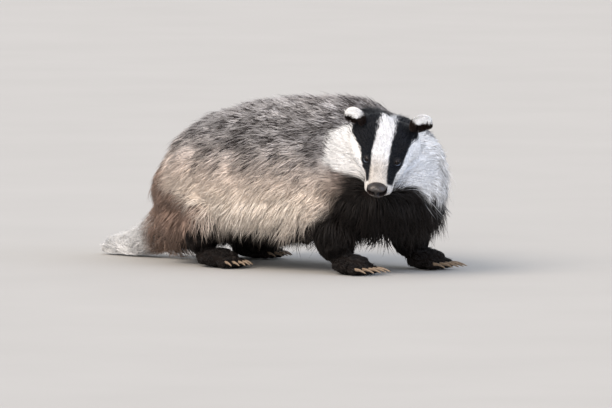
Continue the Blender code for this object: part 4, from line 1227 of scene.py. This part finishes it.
# %% Scatter the roots
# Tufts on a square metre of trunk, back of the head, muzzle, legs, tail, ears and lids.
BODY_DENSITY, HEAD_DENSITY, FACE_DENSITY, LEG_DENSITY, TAIL_DENSITY = 160e3, 420e3, 900e3, 210e3, 330e3
EAR_DENSITY, LID_DENSITY = 900e3, 2.4e6
# No tuft starts lower than this over the floor, or round the eye and the nose pad in these half sizes.
FLOOR_CLEAR = 0.004
BARE_EYE, BARE_NOSE = (0.0062, 0.0052), (0.0160, 0.0112)
SEED = 11
draw = np.random.default_rng(SEED)


def triangles_of(mesh):
    """The mesh's triangles, three point numbers each."""
    mesh.calc_loop_triangles()
    return fetch(mesh.loop_triangles, "vertices", 3, np.int32)


def scatter(points, triangles, density):
    """Roots over a mesh: a face gets its area times the density on average, at a random place in it."""
    a, b, c = points[triangles].transpose(1, 0, 2)
    area = np.linalg.norm(np.cross(b - a, c - a), axis=1) / 2
    steps = np.cumsum(area * density)
    face = np.searchsorted(steps, np.arange(int(steps[-1])) + draw.random(int(steps[-1])))
    face = np.minimum(face, len(triangles) - 1)
    u, v = draw.random((2, len(face), 1))
    u, v = np.where(u + v > 1, 1 - u, u), np.where(u + v > 1, 1 - v, v)
    return a[face] + u * (b - a)[face] + v * (c - a)[face]


def nearest(points, tree):
    """Nearest place on a search tree's mesh to each point, and the mesh's normal there."""
    found = np.array([(*hit[0], *hit[1]) for hit in map(tree.find_nearest, points.tolist())])
    return found[:, :3], found[:, 3:]


triangles = triangles_of(skin.data)
tree_of_skin = BVHTree.FromPolygons(skin_places.tolist(), triangles.tolist())
middles = skin_places[triangles].mean(1)
head, leg, tail, _, _ = regions(middles)
on_muzzle = ease((in_head(middles)[:, 0] + 0.07) / 0.05)
density = mix(BODY_DENSITY, mix(HEAD_DENSITY, FACE_DENSITY, on_muzzle), head)
density = mix(mix(density, LEG_DENSITY, leg), TAIL_DENSITY, tail)
density *= middles[:, 2] > FLOOR_CLEAR
roots = scatter(skin_places, triangles, density)
for side in (1, -1):
    local = (in_head(roots) - on_side(EYE_PLACE, side)) @ eye_turn(side)
    roots = roots[(np.hypot(*(local[:, 1:] / BARE_EYE).T) >= 1) | (local[:, 0] <= -0.006)]
pad = in_head(roots) - NOSE_CENTRE
roots = roots[(np.hypot(*(pad[:, 1:] / BARE_NOSE).T) > 1) | (pad[:, 0] < -0.004)]
count = len(roots)
_, root_normals = nearest(roots, tree_of_skin)
print(count, "roots")

# %% [markdown]
# ### Growing a tuft
# A tuft has a few rings of three corners and a point: sixteen triangles where the hair is long and ten
# where it is short, which is little enough to repeat tens of thousands of times. Its root ring is just
# under the skin. All tufts are grown at once, as arrays of rings. Tufts that are near each other share a
# lean and a height, in small clumps and in larger locks, and draw together towards their tips.

# %% Grow the tufts
RING_SHARES = np.array([0.0, 0.38, 0.72, 1.0])
RING_WIDTH = np.array([0.75, 1.0, 0.66, 0.0])
RING_DEPTH = 0.55
ROOT_SINK = 0.0015
LEAVES_SKIN = -0.30
LOWEST = 0.0028
CLUMP_SHARE, LOCK_SHARE = 0.045, 0.006
CLUMP_PULL = 0.62
LOCK_LEAN, CLUMP_LEAN, HAIR_LEAN = 0.12, 0.11, 0.08
CLUMP_BEND, HAIR_BEND = 0.08, 0.12
STRAY_SHARE = 0.05


def groups(share):
    """Number of each root's group, which is that of the nearest of a random share of the roots, and the
    groups' middle roots."""
    middle = roots[np.sort(draw.choice(count, int(count * share), replace=False))]
    tree = KDTree(len(middle))
    for n, place in enumerate(middle.tolist()):
        tree.insert(place, n)
    tree.balance()
    return np.array([tree.find(place)[1] for place in roots.tolist()]), middle


def walk(root, length, lift, hanging, lean, bend):
    """Rings of each tuft: from its root it goes a share of its length along the lie of the coat, is set
    back on the skin, and so on; there it is raised by the lift times a power of the share. It leans to one
    side, and by the bend more at each step. Where it hangs and the skin turns under, it goes straight on
    instead. A tip that would reach the floor is drawn back to above it."""
    place, normal = nearest(root, tree_of_skin)
    centres, normals = [place], [normal]
    for n, share in enumerate(np.diff(RING_SHARES)):
        way = lie(place, hanging)
        way = laid(way + np.cross(normal, way) * (lean + n * bend)[:, None], normal)
        ahead = place + way * (length * share)[:, None]
        near, turned_to = nearest(ahead, tree_of_skin)
        free = (hanging > 0.3) & (turned_to[:, 2] < LEAVES_SKIN)
        ahead[:, 2] -= 0.25 * length * share
        place = np.where(free[:, None], ahead, near)
        normal = np.where(free[:, None], normal, turned_to)
        centres.append(place)
        normals.append(normal)
    centres, normals = np.stack(centres, 1), np.stack(normals, 1)
    height = -ROOT_SINK + (lift[:, None] + ROOT_SINK) * RING_SHARES ** 0.75
    rings = centres + normals * height[..., None]
    drop = rings[:, :1, 2] - rings[:, -1:, 2]
    room = np.clip((rings[:, :1, 2] - FLOOR_CLEAR) / np.maximum(drop, 1e-6), 0.15, 1.0)
    short = rings[:, -1:, 2] < FLOOR_CLEAR
    rings = np.where(short[..., None], rings[:, :1] + (rings - rings[:, :1]) * room[..., None], rings)
    return rings, normals


head, leg, tail, _, _ = regions(roots)
calm = 1 - 0.6 * head + 1.0 * ruff(roots) * (1 - head) + 1.2 * tail
clump, clump_middle = groups(CLUMP_SHARE)
lock, lock_middle = groups(LOCK_SHARE)
clump_draw = draw.normal(0, 1, (3, len(clump_middle)))[:, clump]
lock_draw = draw.normal(0, 1, (3, len(lock_middle)))[:, lock]
stray = (draw.random(count) < STRAY_SHARE) & (head + leg + tail < 0.5)
lean = (LOCK_LEAN * lock_draw[0] + CLUMP_LEAN * clump_draw[0] + draw.normal(0, HAIR_LEAN, count)) * calm
length, width, lift, hanging = measures(roots, root_normals)
length = length * draw.uniform(0.82, 1.15, count) * (1 + 0.09 * lock_draw[1] * calm)
length = length * np.where(stray, 1.1, 1.0)
length = length * (1 - 0.35 * draw.random(count) * ease((hanging - 0.2) / 0.4))
width = width * draw.uniform(0.75, 1.2, count) * np.where(stray, 0.6, 1.0)
lift = lift * draw.uniform(0.72, 1.06, count) * np.clip(1 + 0.16 * lock_draw[1] * calm, 0.6, 1.25)
lift = lift * np.where(stray, 1.35, 1.0)
bend = (CLUMP_BEND * clump_draw[1] + draw.normal(0, HAIR_BEND, count)) * calm
rings, ring_normals = walk(roots, length, lift, hanging, lean, bend)
pull = (CLUMP_PULL * (1 - 0.5 * head) * (1 - 0.35 * hanging))[:, None] * RING_SHARES**1.7
rings = rings - (roots - clump_middle[clump])[:, None, :] * pull[..., None]
rings[..., 2] = np.maximum(rings[..., 2], LOWEST)
print("tufts grown in", len(clump_middle), "clumps and", len(lock_middle), "locks")


# %% [markdown]
# ### Colour of each tuft
# Every tuft takes the marking of the place where it shows, moved a little at random, so that black and
# white hairs interlock at the edge of a stripe. Clumps differ in tone as wet and dry strands do.

# %% Colour of each tuft
EDGE_JITTER, FACE_JITTER = 0.0028, 0.0007
SHOWS_AT = 2
WHITEST = 0.97
face_share = ease((in_head(roots)[:, 0] + 0.12) / 0.06) * head
jitter = mix(EDGE_JITTER, FACE_JITTER, face_share)
moved = rings[:, SHOWS_AT] + draw.normal(0, 1, (count, 3)) * jitter[:, None]
tuft_colour, tuft_band = marking(moved, -root_normals[:, 2], leg, tail)
tone = np.exp((0.10 * clump_draw[2] + 0.07 * lock_draw[2]) * calm + draw.normal(0, 0.10, count) * calm)
tone = np.minimum(tone, WHITEST / tuft_colour.max(1))
tuft_colour = tuft_colour * tone[:, None]
band_tone = np.exp(0.50 * clump_draw[1] + 0.08 * lock_draw[2] + draw.normal(0, 0.40, count))
tuft_band = np.clip(tuft_band * band_tone, 0, 1)


# %% Flat map of the skin
def turn_share(up, across):
    """Share of a full turn at which a place lies round an axis: the angle from across to up, plus a half."""
    return np.arctan2(up, across) / TAU + 0.5


def unwrap(place):
    """Place of each root on a flat map of the skin: across by its share along the trunk, the head, a leg
    or the tail, and up by its share round that part, each part in a rectangle of its own."""
    x, y, z = place.T
    head, leg, tail, _, tail_passed = regions(place)
    seen = in_head(place)
    _, _, passed = path_gap(place, TRUNK[:, [1, 2, 3, 4]])
    centre_z = np.interp(passed * (len(TRUNK) - 1), np.arange(len(TRUNK)), TRUNK[:, 3])
    side = y + ease((x - 0.15) / 0.12) * 0.06
    flat = np.stack([0.02 + 0.96 * passed, 0.40 + 0.58 * turn_share(z - centre_z, side)], -1)
    flat_head = np.stack([0.02 + 0.36 * np.clip(-seen[:, 0] / 0.17, 0, 1),
                          0.02 + 0.34 * turn_share(seen[:, 2], seen[:, 1])], -1)
    flat_tail = np.stack([0.86 + 0.12 * tail_passed, 0.02 + 0.34 * turn_share(z - 0.05, y)], -1)
    flat = mix_rows(flat, flat_head, (head > 0.5).astype(float))
    flat = mix_rows(flat, flat_tail, tail)
    for n, (path, *_rest) in enumerate(LEGS.values()):
        _, _, share = path_gap(place, path)
        from_x, from_y = x - path[-1][0], y - path[-1][1]
        mine = (leg > 0) & (np.hypot(from_x, from_y) < 0.09)
        here = np.stack([0.40 + 0.11 * n + 0.10 * share, 0.02 + 0.34 * turn_share(from_y, from_x)], -1)
        flat = mix_rows(flat, here, mine.astype(float))
    return flat


PATCH = 0.003
flat = unwrap(roots)
print("map reaches from", np.round(flat.min(0), 3), "to", np.round(flat.max(0), 3))

# %% [markdown]
# ### Guard hair material
# The colour runs along each tuft: a little darker at the root, where light hardly reaches, then the ground
# colour, the dark band where there is one, and a pale tip. The attribute "along" says how far along the
# tuft a point is.

# %% Guard hair
# Guard hair: smooth keratin scales give a soft, silky gleam rather than a hard highlight.
guard_hair, tree = material("silky_guard_hair")
HAIR_GRAIN = 1 / 0.0016
along = attribute(tree, "along")
root_shade = ramp(tree, along, (0.0, 0.70), (0.35, 0.98), (0.6, 1.0))
ground = times(tree, attribute(tree, "marking", "Color"), root_shade)
band_place = ramp(tree, along, (0.30, 0.0), (0.48, 1.0), (0.80, 1.0), (0.93, 0.12))
band_links = {0: attribute(tree, "marking", "Alpha"), 1: band_place}
band_amount = node(tree, "Math", {"operation": "MULTIPLY"}, band_links).outputs[0]
strands = ramp(tree, noise(tree, HAIR_GRAIN, 1.0), (0.25, 0.88), (0.75, 1.08))
surface(tree, {"Roughness": 0.55, "Specular IOR Level": 0.25},
        times(tree, blend(tree, band_amount, ground, BAND), strands))


# %% One piece of coat from tufts
def tuft_mesh(rings, normals, width, shares):
    """Corners of all tufts: left and right of each ring and one raised between them, then the tip. The
    width at a ring goes by its share of the way along."""
    way = unit(np.gradient(rings, axis=1))
    across = unit(np.cross(normals, way))
    out = np.cross(way, across)
    half = (width[:, None] / 2 * np.interp(shares[:-1], RING_SHARES, RING_WIDTH))[..., None]
    body, across, out = rings[:, :-1], across[:, :-1], out[:, :-1]
    corners = np.stack([body + half * across, body + half * 2 * RING_DEPTH * out, body - half * across], 2)
    points = np.concatenate([corners.reshape(len(rings), -1, 3), rings[:, -1:]], 1)
    each, last = points.shape[1], 3 * (len(shares) - 2)
    faces = []
    for a in range(last):
        b = a + 1 if a % 3 < 2 else a - 2
        faces += [(a, b, b + 3), (a, b + 3, a + 3)]
    faces += [(last + s, last + (s + 1) % 3, each - 1) for s in range(3)] + [(2, 1, 0)]
    faces = np.array(faces)[None] + (np.arange(len(rings)) * each)[:, None, None]
    return points, faces.reshape(-1, 3)


def coat_piece(name, rings, normals, width, shares, colour, flat):
    """Mesh of tufts whose rings lie at the given shares, with its marking, its shares along the hair and
    its patches on the flat map."""
    points, faces = tuft_mesh(rings, normals, width, shares)
    each = points.shape[1]
    made = new_mesh(name, points.reshape(-1, 3), faces)
    along = np.tile(np.append(np.repeat(shares[:-1], 3), 1.0), len(rings))
    mark(made, "along", along)
    paint(made, np.repeat(colour, each, axis=0))
    across = np.tile(np.append(np.tile([0.0, 0.5, 1.0], len(shares) - 1), 0.5), len(rings))
    corner = np.repeat(flat, each, axis=0) + PATCH * np.column_stack([across, along])
    uv = made.data.uv_layers.new(name="OFBake")
    uv.data.foreach_set("uv", corner[faces.ravel()].astype(np.float32).ravel())
    made.data.materials.append(guard_hair)
    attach(made, "root")
    print(name, len(rings), "tufts", len(faces), "triangles")


# %% The pieces of the coat
x = roots[:, 0]
behind = in_head(roots)[:, 0]
on_head, on_tail = head > 0.5, tail > 0
on_leg = (leg > 0) & ~on_head
on_trunk = ~(on_head | on_leg | on_tail)
LONG, SHORT = [0, 1, 2, 3], [0, 1, 3]
# The trunk's pieces from back to front, with the place along the body where each ends.
SECTIONS = (("coat_rump", -0.185, "coat_grizzled"), ("coat_loin", -0.105, "coat_grizzled"),
            ("coat_ribs", -0.025, "coat_grizzled"), ("coat_side", 0.050, "coat_grizzled"),
            ("coat_shoulder", 0.125, "coat_grizzled"), ("coat_chest", 0.200, "coat_black"),
            ("coat_neck", math.inf, "coat_white"))
pieces, start = [], -math.inf
for name, end, slot in SECTIONS:
    pieces.append((name, on_trunk & (x >= start) & (x < end), LONG, slot))
    start = end
pieces += [
    ("coat_face", on_head & (behind > -0.075), SHORT, "coat_face"),
    ("coat_crown", on_head & (behind <= -0.075), LONG, "coat_face"),
    ("coat_legs_front", on_leg & (x > 0), SHORT, "coat_black"),
    ("coat_legs_hind", on_leg & (x <= 0), SHORT, "coat_black"),
    ("coat_tail", on_tail, LONG, "coat_white"),
]
tuft_marks = np.column_stack([tuft_colour, tuft_band])
for name, chosen, kept, slot in pieces:
    coat_piece(name, rings[chosen][:, kept], ring_normals[chosen][:, kept], width[chosen],
               RING_SHARES[kept], tuft_marks[chosen], flat[chosen])

# %% [markdown]
# ### Hair of the ears, and whiskers
# Short down covers both sides of an ear and runs over its edge, dark in the cup and below, and bright
# white above, where it makes the rim. Still shorter hair runs out from the lids. The whiskers are stiff
# single hairs that stand in rows on the pads beside the nose, and a few over the eyes.

# %% Ear hair
EAR_HAIR, EAR_HAIR_WIDTH, EAR_RISES = 0.0048, 0.0009, (-0.0006, 0.0013, 0.0026)
SHORT_SHARES, SHORT_STEPS = np.array([0.0, 0.45, 1.0]), np.array([-0.1, 0.45, 1.0])


def on_mesh(made, density):
    """Roots scattered over an object at a density, and its normals there."""
    points, triangles = positions(made.data), triangles_of(made.data)
    found = scatter(points, triangles, density)
    return found, nearest(found, BVHTree.FromPolygons(points.tolist(), triangles.tolist()))[1]


def short_hair(name, root, outward, way, length, rises, width, colour, flat):
    """Piece of short hairs: each goes steps of its length along its way, laid on the surface, and is
    raised over the surface by its rises. Its width differs by up to a fifth."""
    step = SHORT_STEPS[None, :, None] * length[:, None, None]
    rise = outward[:, None] * np.array(rises)[:, None]
    hair_rings = root[:, None] + step * laid(way, outward)[:, None] + rise
    widths = width * draw.uniform(0.8, 1.2, len(root))
    coat_piece(name, hair_rings, np.repeat(outward[:, None], 3, 1), widths, SHORT_SHARES,
               np.column_stack([colour, np.zeros(len(root))]), flat)


for side, word in SIDES:
    ear_roots, outward = on_mesh(ears[side], EAR_DENSITY)
    local, turn, n = in_ear(ear_roots, side), ear_turn(side), len(ear_roots)
    way = (1.0, 0.0, 0.6) + 0.6 * unit(local * (0.0, 1.0, 1.0)) + draw.normal(0, 0.26, (n, 3))
    forward = outward @ HEAD_TURN @ turn[:, 0]
    high = ear_white(local + draw.normal(0, 0.0006, (n, 3)), forward, side)
    hair_length = EAR_HAIR * (0.50 + 1.0 * high) * draw.uniform(0.7, 1.3, n)
    ear_tone = np.exp(draw.normal(0, 0.10, n))[:, None]
    ear_colour = np.clip(mix_rows(EAR_DARK * ear_tone, SNOW * ear_tone, high), 0, WHITEST)
    ear_flat = np.column_stack([0.02 + 0.30 * (side < 0) + 0.26 * turn_share(local[:, 2], local[:, 1]),
                                0.365 + 0.8 * (local[:, 0] + 0.012)])
    short_hair("coat_ear_" + word, ear_roots, outward, way @ turn.T @ HEAD_TURN.T, hair_length,
               EAR_RISES, EAR_HAIR_WIDTH, ear_colour, ear_flat)

# %% Hair of the lids
LID_HAIR, LID_HAIR_WIDTH, LID_RISES = 0.0034, 0.0006, (-0.0004, 0.0005, 0.0004)
BARE_RIM = 0.0014
lid_roots, outward = on_mesh(eyelids, LID_DENSITY)
seen = in_head(lid_roots)
is_left = seen[:, 1:2] > 0
off = seen - np.where(is_left, on_side(EYE_PLACE, 1), on_side(EYE_PLACE, -1))
sight = np.where(is_left, eye_turn(1)[:, 0], eye_turn(-1)[:, 0])
across = off - (off * sight).sum(1, keepdims=True) * sight
faces_out = (outward @ HEAD_TURN * sight).sum(1) > 0.1
kept = (np.linalg.norm(across, axis=1) > LID_HALF[1] + BARE_RIM) & faces_out
way = unit(unit(across) + draw.normal(0, 0.25, (len(seen), 3)) + (-0.5, 0.0, 0.0)) @ HEAD_TURN.T
lid_roots, outward, way, n = lid_roots[kept], outward[kept], way[kept], int(kept.sum())
hair_length = LID_HAIR * draw.uniform(0.7, 1.2, n)
short_hair("coat_lids", lid_roots, outward, way, hair_length, LID_RISES, LID_HAIR_WIDTH,
           np.repeat(JET[None], n, 0), unwrap(lid_roots))

# %% Whiskers
WHISKER_SHARES = np.linspace(0, 1, 8)
WHISKER_WIDTH, WHISKER_SPREAD, WHISKER_DROOP = 0.00045, 0.10, 0.22
PAD_ROWS, ROW_WHISKERS, BROW_WHISKERS = 3, 4, 3
whisker_roots, whisker_ways = [], []
for side in (1, -1):
    for row in range(PAD_ROWS):
        for place in range(ROW_WHISKERS):
            whisker_roots.append((-0.014 - 0.006 * place, side * (0.0185 + 0.0008 * place),
                                  -0.004 - 0.0045 * row))
            whisker_ways.append((-0.35 - 0.12 * place, side * 1.0, -0.10 - 0.22 * row))
    for place in range(BROW_WHISKERS):
        whisker_roots.append((-0.060 - 0.004 * place, side * (0.0240 - 0.003 * place), 0.030))
        whisker_ways.append((-0.5, side * 0.8, 0.55))
n = len(whisker_roots)
hair_length = draw.uniform(0.026, 0.042, n)
way = unit(np.array(whisker_ways) + draw.normal(0, WHISKER_SPREAD, (n, 3)))
out = hair_length[:, None, None] * WHISKER_SHARES[None, :, None] * way[:, None]
droop = hair_length[:, None] * WHISKER_SHARES**2 * WHISKER_DROOP
whisker_rings = from_head(np.array(whisker_roots)[:, None] + out - droop[..., None] * (0.5, 0.0, 1.0))
whisker_up = unit(np.cross(np.cross(way, (0.0, 0.0, 1.0)), way) @ HEAD_TURN.T)
whisker_up = np.repeat(whisker_up[:, None], len(WHISKER_SHARES), 1)
whisker_colour = np.column_stack([np.repeat(SOOT[None], n, 0), np.zeros(n)])
coat_piece("whiskers", whisker_rings, whisker_up, np.full(n, WHISKER_WIDTH), WHISKER_SHARES,
           whisker_colour, unwrap(from_head(whisker_roots)))

# %% [markdown]
# ## Finish
# The view layer is brought up to date.

# %% Finish
bpy.context.view_layer.update()
